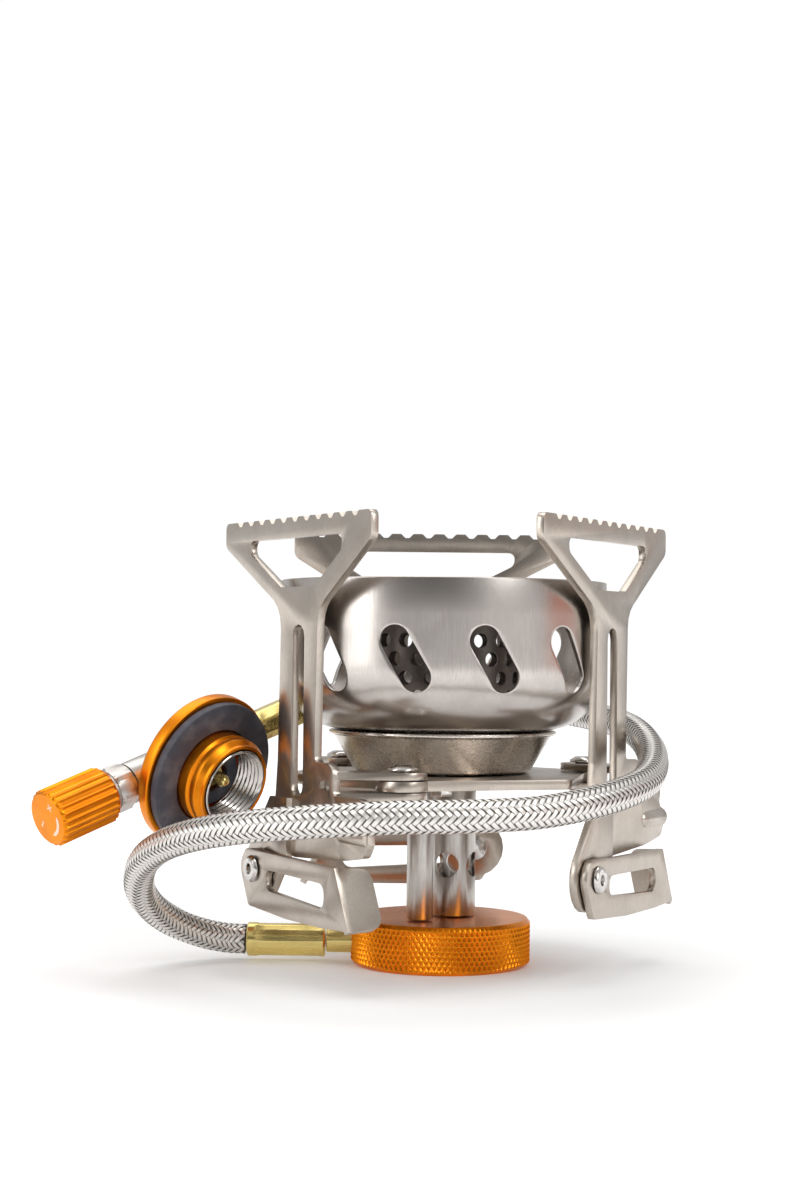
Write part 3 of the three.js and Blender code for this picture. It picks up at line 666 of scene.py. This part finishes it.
def knurled_disc():
    """A disc with chamfered rims: radius = full radius less the cut, where the cut is the knurl's depth
    times one minus the smaller of two triangle waves, of angle + height and of angle - height."""
    radius, height = size_of("base_disc")[1][[0, 2]]
    chamfer, shy, past, levels = 0.8, 0.1, 0.25, 58
    band = np.linspace(chamfer + past, height - chamfer - past, levels)
    under = soft([(0, 0), (radius - chamfer, 0), (radius - shy, chamfer)], [0, 0.3, 0])
    wall = np.stack([np.full_like(band, radius), band], -1)
    over = [(radius - shy, height - chamfer), (radius - chamfer, height), (0, height)]
    rows = np.vstack([under, wall, soft(over, [0, 0.3, 0])])
    angle = full_turn(KNURL_TEETH * 8)
    pitch = 2 * math.pi * radius / KNURL_TEETH
    around, up = KNURL_TEETH * angle / (2 * math.pi), rows[:, 1:] / (pitch / math.tan(KNURL_SLANT))
    pyramid = np.minimum(saw(around + up), saw(around - up))
    cut = KNURL_DEPTH * (1 - np.minimum(pyramid * 1.25, 1)) * (rows[:, :1] >= radius)
    return build("base_disc_knurled", round_axis(rows[:, :1] - cut, angle, rows[:, 1:]))


finished(knurled_disc(), orange_knurl, "base_disc")

# %% [markdown]
# ## Pillars
#
# Two pillars carry the hub: the mixing tube, where gas and air meet, with round air holes through it,
# and a plain post. Both are simple CAD shapes, so a merged copy with rounded rims is enough.

# %% Pillars and hub
refined("mixing_tube", 0.2, steel_satin)
refined("support_post", 0.2, steel_satin)
refined("gas_jet", 0.1, brass_level)
refined("hub_plate", 0.3, steel_sheet)
refined("burner_cap", 0.15, steel_burnt)
for number in (1, 2, 3):
    refined(f"hub_screw_{number}", 0.15, steel_bright)

# %% [markdown]
# ## Dish and wind bowl
#
# The dish under the bowl is a pressed cone with a flat lip. The bowl is drawn from one sheet and pierced
# by twelve slanting slots. To pierce it without a boolean cut, each slot gets its own cell of the wall:
# a grid whose rows run from the cell's border to the edge of the slot, round that edge, through the
# thickness of the sheet, and back over the inside. Each border point goes to the nearest point of the
# slot, which can't make the rows cross, because a slot is convex.

# %% Dish
dish_low, dish_high = size_of("burner_dish")
DISH_WALL, DISH_FOOT, DISH_NECK, DISH_LIP = 0.9, 19.6, 24.4, dish_high[0]
CENTRE_HOLE, LEAN = 0.8, 0.7
foot, neck = dish_low[2], dish_high[2] - DISH_WALL
dish_profile = [
    (CENTRE_HOLE, foot), (DISH_FOOT, foot), (DISH_NECK, neck), (DISH_LIP, neck),
    (DISH_LIP, neck + DISH_WALL), (DISH_NECK - LEAN, neck + DISH_WALL),
    (DISH_FOOT - LEAN, foot + DISH_WALL), (CENTRE_HOLE, foot + DISH_WALL),
]
dish = turned("burner_dish_pressed", dish_profile, radius=[0.1, 1.6, 0.8, 0.35, 0.35, 0.8, 0.9, 0.1])
finished(dish, steel_pressed, "burner_dish")

# %% Pierced walls
EDGE, CELLS_MEET = 0.14, 0.006


def slot_edge(border, length, width, tilt, off):
    """The nearest points of a slot's outline to the border points, moved outwards by off. The nearest
    point of a slot lies half its width from the nearest point of the line through its middle."""
    lean = np.array([-math.sin(tilt), math.cos(tilt)])
    reach = np.clip(border @ lean, (width - length) / 2, (length - width) / 2)
    middle = reach[:, None] * lean
    return middle + unit(border - middle) * (width / 2 + off)


def pierced_cell(azimuth, half_angle, low, high, slot, radius_at, wall, sides=16):
    """One cell of a round wall with a slot in its middle, as rows of (x, y, z) from the outer border to
    the slot, through the wall and back to the inner border. slot is (height, length, width, tilt)."""
    height, length, width, tilt = slot
    t = np.arange(sides) / sides
    x = np.concatenate([2 * t - 1, 1 + 0 * t, 1 - 2 * t, -1 + 0 * t])
    y = np.concatenate([0 * t, t, 1 + 0 * t, 1 - t])
    z = low + (high - low) * y
    outer = radius_at(z, 0)
    border = np.stack([x * outer * math.sin(half_angle), z - height], -1)
    rows = []
    for depth, off, share in cell_rows(wall):
        goal = slot_edge(border, length, width, tilt, off)
        flat = border + (goal - border) * share
        level_z = flat[:, 1] + height
        level_z = np.where(share == 0, z, level_z)
        radius = radius_at(level_z, depth)
        turn = np.arcsin(np.clip(flat[:, 0] / radius_at(level_z, 0), -1, 1))
        turn = np.where(share == 0, x * half_angle, turn)
        rows.append(round_axis(radius, azimuth + turn, level_z))
    return np.stack(rows)


def cell_rows(wall):
    """Depth into the wall, distance out from the slot's edge, and share of the way from the border, for
    each row: over the face, round a small edge, through, round the far edge and back."""
    face = [0, 0.3, 0.55, 0.75, 0.9]
    over = [(0.0, EDGE, share) for share in face] + [(0.0, EDGE, 1.0), (0.3 * EDGE, 0.3 * EDGE, 1.0)]
    through = [(EDGE, 0.0, 1.0), (wall - EDGE, 0.0, 1.0), (wall - 0.3 * EDGE, 0.3 * EDGE, 1.0)]
    return over + through + [(wall, EDGE, share) for share in [1.0] + face[::-1]]


# %% Wind bowl
bowl_low, bowl_high = size_of("windshield_bowl")
BOWL_RADIUS, BOWL_FLOOR, BOWL_RIM = bowl_high[0], bowl_low[2], bowl_high[2]
BOWL_WALL, BOWL_CORNER, BOWL_HOLE = 1.0, 14.0, 12.5
SLOTS, SLOT_FIRST = 12, math.radians(257.5)
SLOT_SHAPE = (68.0, 15.3, 6.5, math.radians(30.6))
CELL_LOW, CELL_HIGH = 58.6, 77.4


def bowl_radius(z, depth):
    """Radius of the bowl's wall at a height: straight above, and a quarter circle below."""
    down = np.maximum(BOWL_FLOOR + BOWL_CORNER - z, 0)
    return BOWL_RADIUS - BOWL_CORNER + np.sqrt((BOWL_CORNER - depth) ** 2 - down**2)


def bowl_arc(depth, steps=14):
    """The rounded corner from the cells down to the flat floor, as (radius, height)."""
    z = CELL_LOW
    start = math.asin((BOWL_FLOOR + BOWL_CORNER - z) / (BOWL_CORNER - depth))
    angle = np.linspace(start, math.pi / 2, steps)
    middle = BOWL_RADIUS - BOWL_CORNER, BOWL_FLOOR + BOWL_CORNER
    size = BOWL_CORNER - depth
    return np.stack([middle[0] + size * np.cos(angle), middle[1] - size * np.sin(angle)], -1)


def facing(turn):
    """An upright place to spin at, whose first point lies at the given angle."""
    return axes((0, 0, 0), (0, 0, 1), (math.cos(turn), math.sin(turn), 0))


def wind_bowl():
    """The bowl's twelve pierced cells, the rounded floor spun below them and the rim above them."""
    half = math.pi / SLOTS
    sides = 16 * SLOTS
    grids = []
    for number in range(SLOTS):
        azimuth = SLOT_FIRST + 2 * half * number
        grids.append(pierced_cell(azimuth, half, CELL_LOW, CELL_HIGH, SLOT_SHAPE, bowl_radius, BOWL_WALL))
    at = facing(SLOT_FIRST - half)
    hole = [(BOWL_HOLE + 0.2, BOWL_FLOOR), (BOWL_HOLE, BOWL_FLOOR + 0.2)]
    hole += [(r, 2 * BOWL_FLOOR + BOWL_WALL - z) for r, z in hole[::-1]]
    lower = np.vstack([bowl_arc(0), hole, bowl_arc(BOWL_WALL)[::-1]])
    inside = BOWL_RADIUS - BOWL_WALL
    rim = [(BOWL_RADIUS, CELL_HIGH), (BOWL_RADIUS, BOWL_RIM), (inside, BOWL_RIM), (inside, CELL_HIGH)]
    return grids, [spun(lower, at, sides), spun(soft(rim, [0, 0.3, 0.3, 0]), at, sides)]


def pierced_piece(name, cells, rings):
    """One closed mesh from pierced cells and the plain bands above and below them."""
    corners, faces = joined(cells + rings, True, False)
    mesh = bpy.data.meshes.new(name)
    mesh.from_pydata(corners * MM, [], faces)
    work = bmesh.new()
    work.from_mesh(mesh)
    bmesh.ops.remove_doubles(work, verts=work.verts, dist=CELLS_MEET * MM)
    bmesh.ops.recalc_face_normals(work, faces=work.faces)
    open_edges = sum(not edge.is_manifold for edge in work.edges)
    print(name, "has", len(work.faces), "faces and", open_edges, "open edges")
    work.to_mesh(mesh)
    work.free()
    return weld(name, mesh)


bowl = pierced_piece("wind_bowl_drawn", *wind_bowl())
finished(bowl, steel_upright, "windshield_bowl")

# %% [markdown]
# ## Burner
#
# Inside the bowl sits the burner, a thin can pierced by rows of round flame holes, each row turned half a
# hole from the one below. A round hole is a slot whose length is its width, so the same cells make it.
# Heat has browned and dulled the steel.

# %% Burner head
head_low, head_high = size_of("burner_head")
HEAD_RADIUS, HEAD_TOP, HEAD_FOOT = 18.0, head_high[2], head_low[2]
HEAD_WALL, HEAD_FLANGE, HEAD_HOLE = 1.0, head_high[0], 11.5
FLAME_HOLES, FLAME_ROWS, FLAME_HOLE, FLAME_PITCH, FLAME_LOW = 20, 4, 3.1, 4.1, 57.6


def head_radius(z, depth):
    """The burner's wall is a plain cylinder."""
    return HEAD_RADIUS - depth + 0 * np.asarray(z, float)


def burner_can():
    """The burner's rows of pierced cells, its open rim, and its foot with an outward flange."""
    half = math.pi / FLAME_HOLES
    cells = []
    for row in range(FLAME_ROWS):
        low = FLAME_LOW + row * FLAME_PITCH
        hole = (low + FLAME_PITCH / 2, FLAME_HOLE, FLAME_HOLE, 0.0)
        for number in range(FLAME_HOLES):
            azimuth = 2 * half * (number + 0.5 * (row % 2))
            cells.append(pierced_cell(azimuth, half, low, low + FLAME_PITCH, hole, head_radius, HEAD_WALL, 8))
    inside, high = HEAD_RADIUS - HEAD_WALL, FLAME_LOW + FLAME_ROWS * FLAME_PITCH
    rim = [(HEAD_RADIUS, high), (HEAD_RADIUS, HEAD_TOP), (inside, HEAD_TOP), (inside, high)]
    step = HEAD_FOOT + HEAD_WALL
    flanged = [
        (HEAD_RADIUS, FLAME_LOW), (HEAD_RADIUS, step), (HEAD_FLANGE, step), (HEAD_FLANGE, HEAD_FOOT),
        (HEAD_HOLE, HEAD_FOOT), (HEAD_HOLE, step), (inside, step), (inside, FLAME_LOW),
    ]
    rows = soft(rim, [0, 0.2, 0.2, 0]), soft(flanged, [0, 0.3, 0.2, 0.2, 0.2, 0.2, 0.3, 0])
    return cells, [spun(part, facing(-half), 8 * FLAME_HOLES) for part in rows]


finished(pierced_piece("burner_can", *burner_can()), steel_burnt, "burner_head")

# %% [markdown]
# ## Brass fittings
#
# A crimped ferrule starts as a plain sleeve, and the crimping jaws leave flats along it. The radius at an
# angle is the smaller of the sleeve's own and the distance to the nearest flat, which is the flat's
# distance from the axis divided by the cosine of the angle from its middle.

# %% Many-sided sleeves
ROUND = 9.0  # a flat this far from the axis cuts nothing


def faceted(rows, flats, apothem, at, sides=96):
    """Spins (radius, height) rows, with the radius held inside a prism of so many flats where apothem,
    one value for each row, says."""
    angle = full_turn(sides)
    radius, height = np.asarray(rows).T[:, :, None]
    step = 2 * math.pi / flats
    flat = np.asarray(apothem, float).reshape(-1, 1) / np.cos(angle % step - step / 2)
    return round_axis(np.minimum(radius, flat), angle, height, at)


def reach(node, at):
    """Lowest and highest point of a CAD node along an axis, and its greatest radius from it."""
    local = (points(node) - at[0]) @ at[1].T
    return local[:, 2].min(), local[:, 2].max(), np.hypot(local[:, 0], local[:, 1]).max()


# %% Inlet and valve ferrules
INLET = axes((0, 0, ROUTE[0][2]), (-1, 0, 0))
ALONG_VALVE = axes(VALVE_MIDDLE, TO_KNOB, TO_SEAT)
ACROSS_VALVE = axes(VALVE_MIDDLE, TO_SEAT, np.cross(TO_KNOB, TO_SEAT))
SLEEVE_EDGE, SLEEVE_BORE, NUT_EDGE, NECK_BORE = 0.35, 1.4, 0.5, 1.2
CRIMP_FROM, CRIMP_TO, CRIMP_ROWS, PRESSED = 1.2, 2.6, 6, 0.945


def crimped(low, high, radius):
    """Rows and apothems of a sleeve whose middle is crimped flat, as far as its last round part."""
    rows = [(SLEEVE_BORE, low), (radius - SLEEVE_EDGE, low), (radius, low + SLEEVE_EDGE)]
    rows += [(radius, height) for height in np.linspace(low + CRIMP_FROM, high - CRIMP_TO, CRIMP_ROWS)]
    rows += [(radius, high - 2.2), (radius, high - 1.4)]
    return rows, [ROUND] * 3 + [radius * PRESSED] * CRIMP_ROWS + [ROUND] * 2


def ferrule(name, node, at, flats, hexagon=None):
    """A crimped sleeve that ends in a small chamfer, or in a hexagon where one is asked for. hexagon is
    the height where it starts and the radius of the sleeve before it."""
    low, high, radius = reach(node, at)
    stop, sleeve = hexagon or (high, radius)
    rows, apothem = crimped(low, stop, sleeve)
    if not hexagon:
        rows += [(radius, stop - SLEEVE_EDGE), (radius - SLEEVE_EDGE, stop), (SLEEVE_BORE, stop)]
        return build(name, faceted(rows, flats, apothem + [ROUND] * 3, at), ring=True)
    start = faceted(rows, flats, apothem, at)
    rim, flat = radius - NUT_EDGE, radius * math.cos(math.pi / 6)
    nut = [(sleeve, stop), (rim, stop), (radius, stop + NUT_EDGE), (radius, high - NUT_EDGE)]
    nut += [(rim, high), (SLEEVE_BORE, high)]
    end = faceted(nut, 6, [ROUND] + [flat] * 4 + [ROUND], at)
    return build(name, np.concatenate([start, end]), ring=True)


neck_low, neck_high, neck_radius = reach("inlet_neck", INLET)
neck_profile = [
    (NECK_BORE, neck_low), (neck_radius, neck_low), (neck_radius, neck_high), (NECK_BORE, neck_high),
]
finished(turned("inlet_neck_turned", neck_profile, INLET), brass_level, "inlet_neck")
inlet_sleeve = ferrule("inlet_ferrule_crimped", "inlet_ferrule", INLET, 16)
finished(inlet_sleeve, brass_level, "inlet_ferrule")
brass_slant = drawn_brass("brass_slant", (2.0, 2.0, 2.0))
valve_sleeve = ferrule("valve_ferrule_crimped", "valve_ferrule", ALONG_VALVE, 8, (-19.7, 3.75))
finished(valve_sleeve, brass_slant, "valve_ferrule")

# %% [markdown]
# ## The valve
#
# The valve's body is a nickelled bar with a boss to one side. A threaded flange screws on to the boss
# and takes the canister: an orange ring, a thick gasket pressed on its face, and a steel insert with the
# thread that the canister bites on. A thread is a lathe profile whose radius follows a triangle wave of
# height and angle together, so that it climbs one pitch for each turn.

# %% Valve body, nut and spindle
refined("valve_body", 0.2, steel_satin)
refined("valve_spindle", 0.15, steel_burnt)


def gland_nut(collar_high=0.8, collar_radius=4.2, bore=2.3, edge=0.15):
    """A hexagon nut with a round collar: the smaller of a hexagon and the cones that chamfer it."""
    low, high, corner = reach("gland_nut", ALONG_VALVE)
    flat, collar = corner * math.cos(math.pi / 6), high - collar_high
    rows = [(bore, low), (flat, low), (corner, low + NUT_EDGE), (corner, collar - NUT_EDGE), (flat, collar)]
    rows += [(collar_radius, collar), (collar_radius, high - edge), (collar_radius - edge, high)]
    apothem = [ROUND] + [flat] * 4 + [ROUND] * 4
    grid = faceted(rows + [(bore, high)], 6, apothem, ALONG_VALVE)
    return build("gland_nut_chamfered", grid, ring=True)


finished(gland_nut(), steel_satin, "gland_nut")

# %% Flange, gasket, insert, seal and pin
flange_low, flange_high, flange_radius = reach("valve_flange", ACROSS_VALVE)
FACE, BOSS_RADIUS, BORE, FLOOR_OF_BORE, GAS_WAY = 8.0, 10.25, 8.65, 9.0, 1.7
GROOVE, NOSE = BOSS_RADIUS - 0.6, BOSS_RADIUS - 0.9
flange_profile = [
    (GAS_WAY, flange_low), (flange_radius - 0.4, flange_low), (flange_radius, flange_low + 0.6),
    (flange_radius, FACE), (BOSS_RADIUS, FACE), (BOSS_RADIUS, 12.6), (GROOVE, 13.0), (GROOVE, 13.7),
    (BOSS_RADIUS, 14.1), (BOSS_RADIUS, 15.2), (NOSE, 16.2), (NOSE, flange_high),
    (BORE, flange_high), (BORE, FLOOR_OF_BORE), (GAS_WAY, FLOOR_OF_BORE),
]
flange_edges = [0.1, 0.3, 0.3, 0.35, 0.1, 0.15, 0.15, 0.15, 0.15, 0.3, 0.2, 0.15, 0.1, 0.1, 0.1]
flange = turned("valve_flange_turned", flange_profile, ACROSS_VALVE, flange_edges)
finished(flange, orange, "valve_flange")

gasket_low, gasket_high, gasket_radius = reach("flange_gasket", ACROSS_VALVE)
GASKET_HOLE = 10.55
gasket_profile = [
    (GASKET_HOLE, gasket_low), (gasket_radius, gasket_low), (gasket_radius, gasket_high - 0.1),
    (gasket_radius - 1.6, gasket_high), (GASKET_HOLE, gasket_high),
]
gasket_piece = turned("flange_gasket_pressed", gasket_profile, ACROSS_VALVE, [0.1, 0.2, 0.3, 0.4, 0.15])
finished(gasket_piece, rubber, "flange_gasket")

insert_low, insert_high, insert_radius = reach("threaded_insert", ACROSS_VALVE)
THREAD_PITCH, THREAD_DEPTH, THREAD_RADIUS = 1.15, 0.42, 7.45


def threaded_sleeve():
    """A sleeve with a thread inside: radius = root + depth times a triangle wave that climbs as it turns."""
    rows, edge, lead_in, lead_out, flat_crest = 84, 0.15, 0.6, 0.4, 0.15
    angle = full_turn(96)
    height = np.linspace(insert_high - lead_in, insert_low + lead_out, rows)[:, None]
    crest = saw(height / THREAD_PITCH - angle / (2 * math.pi)) * (1 + flat_crest) - flat_crest
    inner = THREAD_RADIUS + THREAD_DEPTH * np.maximum(crest, 0)
    outer_rows = np.array([
        (insert_radius - edge, insert_low), (insert_radius, insert_low + edge),
        (insert_radius, insert_high - edge), (insert_radius - edge, insert_high),
        (THREAD_RADIUS + 0.5, insert_high),
    ])
    radius = np.vstack([outer_rows[:, :1] + 0 * angle, inner])
    level_at = np.vstack([outer_rows[:, 1:], height])
    return build("threaded_insert_cut", round_axis(radius, angle, level_at, ACROSS_VALVE), ring=True)


finished(threaded_sleeve(), steel_bright, "threaded_insert")
seal_low, seal_high, seal_radius = reach("inner_seal", ACROSS_VALVE)
SEAL_HOLE = 3.6
seal_profile = [
    (SEAL_HOLE, seal_low), (seal_radius, seal_low), (seal_radius, seal_high), (SEAL_HOLE, seal_high),
]
seal = turned("inner_seal_moulded", seal_profile, ACROSS_VALVE, 0.4)
finished(seal, rubber, "inner_seal")
refined("opening_pin", 0.15, brass_slant)

# %% [markdown]
# The knob is a fluted cylinder with a flat end. Its flutes are a rounded wave of the angle, which fades
# out into the chamfers at both ends. The end carries three pale marks that show which way opens it: a
# plus, a minus and an arc. They are thin raised prints, each a flat outline given a slight height.

# %% Control knob
knob_low, knob_high, knob_radius = reach("control_knob", ALONG_VALVE)
FLUTES, FLUTE_DEPTH, KNOB_EDGE, KNOB_BORE = 24, 0.42, 0.7, 2.3


def fluted_knob():
    """A knob: radius = full radius less the flutes' depth times a rounded wave of the angle, which
    fades out with the chamfers at both ends."""
    past, levels = 0.3, 12
    angle = full_turn(FLUTES * 10)
    rim, shelf = knob_radius - KNOB_EDGE, knob_high - 5.5
    wall = np.linspace(knob_low + KNOB_EDGE + past, knob_high - KNOB_EDGE - past, levels)
    start = [(KNOB_BORE, knob_low), (rim, knob_low), (knob_radius, knob_low + KNOB_EDGE)]
    end = [(knob_radius, knob_high - KNOB_EDGE), (rim, knob_high), (0.0, knob_high)]
    middle = np.stack([wall * 0 + knob_radius, wall], -1)
    rows = np.vstack([soft(start, [0, 0.5, 0]), middle, soft(end, [0, 0.5, 0])])
    inside = np.array([(0.0, shelf), (KNOB_BORE, shelf), (KNOB_BORE, knob_low)])
    groove = np.maximum(np.cos(angle * FLUTES), -0.35) * 0.74 + 0.26
    deep = np.clip((rows[:, :1] - rim) / KNOB_EDGE, 0, 1)
    radius = rows[:, :1] - FLUTE_DEPTH * (1 - groove) * deep
    radius = np.vstack([radius, inside[:, :1] + 0 * angle])
    level_at = np.vstack([rows[:, 1:], inside[:, 1:]])
    return build("control_knob_fluted", round_axis(radius, angle, level_at, ALONG_VALVE))


finished(fluted_knob(), orange, "control_knob", body="knob")

# %% Marks on the knob
MARK_HEIGHT, MARK_SUNK = 0.05, -0.02
end_up = unit(np.array([0, 0, 1.0]) - TO_KNOB * TO_KNOB[2])
END_FACE = VALVE_MIDDLE + TO_KNOB * knob_high, np.array([np.cross(end_up, TO_KNOB), end_up, TO_KNOB])


def printed(name, outline):
    """A flat outline on the knob's end, given a slight height: four rows that close at their middles."""
    outline = np.asarray(outline, float)
    middle = np.repeat(outline.mean(0)[None], len(outline), 0)
    layers = [(middle, MARK_SUNK), (outline, MARK_SUNK), (outline, MARK_HEIGHT), (middle, MARK_HEIGHT)]
    rows = [np.column_stack([flat, np.full(len(flat), height)]) for flat, height in layers]
    return build(name, END_FACE[0] + np.stack(rows) @ END_FACE[1])


def bar(middle, length, width, turn):
    """The four corners of a bar."""
    corners = np.array([(-1, -1), (1, -1), (1, 1), (-1, 1)]) * (length / 2, width / 2)
    rotation = np.array([(math.cos(turn), math.sin(turn)), (-math.sin(turn), math.cos(turn))])
    return corners @ rotation + middle


def arc_strip(radius, width, start, stop):
    """A strip along an arc, its width shrinking to nothing at its ends, as a closed band of sections."""
    angle = np.linspace(start, stop, 28)
    half = width / 2 * np.clip(np.minimum(angle - start, stop - angle) * 4, 0.05, 1)
    section = [(-1, MARK_SUNK), (1, MARK_SUNK), (1, MARK_HEIGHT), (-1, MARK_HEIGHT)]
    rows = [round_axis(radius + part * half, angle, height) for part, height in section]
    band = np.stack(rows, 1)
    rows = np.concatenate([closing(band[0]), band, closing(band[-1])])
    return build("knob_mark_arc", END_FACE[0] + rows @ END_FACE[1])


pale_print = Finish("pale_print")
speck = pale_print.noise(pale_print.position(), 3.0)
pale_print.surface(base_color=pale_print.mix(speck, (0.86, 0.62, 0.40), (0.80, 0.70, 0.60)), roughness=0.45)
MARKS = {
    "knob_mark_plus": (bar((1.9, 2.6), 1.7, 0.3, 0.2), bar((1.9, 2.6), 1.7, 0.3, 1.77)),
    "knob_mark_minus": (bar((-2.2, -1.2), 1.6, 0.32, 0.9),),
}
for name, bars in MARKS.items():
    for number, outline in enumerate(bars):
        mark = printed(f"{name}_{number}", outline)
        finished(mark, pale_print.material, body="knob")
arc = arc_strip(3.6, 0.75, math.radians(-80), math.radians(12))
finished(arc, pale_print.material, body="knob")

# %% [markdown]
# ## Legs and feet
#
# The three pot supports are cut from steel sheet, so their faces are flat and their edges are square with
# only a fine break. A merged copy of the CAD piece with a small bevel gives exactly that, and each face
# keeps its fine brushed grain. The supports' windows have tight corners, so their bevel is the finest.

# %% Legs, feet and rivets
SIDES = ("rear", "left", "right")
for name in SIDES:
    leg_body, foot_body = f"leg_{name}_body", f"foot_{name}_body"
    refined(f"leg_{name}", 0.15, steel_sheet, leg_body)
    refined(f"foot_{name}", 0.3, steel_sheet, foot_body)
    refined(f"foot_rivet_{name}", 0.12, steel_bright, leg_body)
    refined(f"pivot_rivet_{name}", 0.12, steel_bright)

# %% [markdown]
# ## Studio
#
# The stove stands on a plain pale floor, under a large soft light from above and two upright soft boxes
# in front, one to each side. Polished metal shows its surroundings more than its own colour, so the
# surroundings matter: the air is pale all round, but for a narrow dark stretch straight in front that
# gives the bowl its dark middle, and a coral card at the right that leaves a warm stripe on its side.
# The floor glows a little more with distance, so that it fades into the white behind it.

# %% Floor, lights and air


def soft_box(name, at, wide, high, power):
    """A rectangular area light that faces the stove's middle."""
    light = bpy.data.lights.new(name, "AREA")
    light.shape, light.size, light.size_y, light.energy = "RECTANGLE", wide * MM, high * MM, power
    up, across, facing = axes(at, np.array(at) - STOVE_MIDDLE)[1]
    stand(placed(name, light), at, -across, up, facing)


STOVE_MIDDLE = np.array((0, 0, 50.0))
soft_box("key_light", (420, -420, 420), 260, 380, 1.5)
soft_box("fill_light", (-480, -300, 260), 220, 420, 0.85)
soft_box("top_light", (-60, 120, 760), 700, 700, 2.6)

FLOOR_HALF = 6000.0
floor_corners = np.array([(-1, -1, 0), (1, -1, 0), (1, 1, 0), (-1, 1, 0)]) * FLOOR_HALF * MM
floor_mesh = bpy.data.meshes.new("floor")
floor_mesh.from_pydata(floor_corners, [], [(0, 1, 2, 3)])
floor = placed("floor", floor_mesh)
floor_finish = Finish("floor_white")
grain = floor_finish.noise(floor_finish.position(), 0.02)
east, north = floor_finish.parts(floor_finish.position(), "XY")
distance = (east * east + north * north).math("SQRT")
floor_finish.surface(
    base_color=floor_finish.mix(grain, (0.93, 0.93, 0.93), (0.9, 0.9, 0.9)),
    roughness=0.6,
    emission_color=floor_finish.mix(distance.between(60, 520), (0.11, 0.11, 0.11), (0.5, 0.5, 0.5)),
    emission_strength=1.0,
)
floor.data.materials.append(floor_finish.material)


# %% The air round the stove
def studio_air(world):
    """The air's light, by the direction that it comes from. What the camera sees is plain white paper."""
    made = Finish("studio", world, "Background")
    x, y, z = made.parts(made.node("TexCoord", out="Generated"))
    seen = made.node("LightPath", out="Is Camera Ray")
    front = (x * -0.139 + y * -0.99).between(0.72, 0.97) * z.between(-0.02, 0.1)
    strength = 0.62 - front * 0.5
    coral = x.between(0.955, 0.985) * z.between(-0.06, 0.0) * (1.0 - z.between(0.2, 0.35))
    made.surface(
        color=made.mix(coral * (1.0 - seen), (1.0, 1.0, 1.0), (1.0, 0.30, 0.16)),
        strength=seen * (1.02 - strength) + strength,
    )


bpy.context.scene.world = bpy.data.worlds.new("studio")
studio_air(bpy.context.scene.world)
bpy.context.scene.view_settings.view_transform = "Standard"
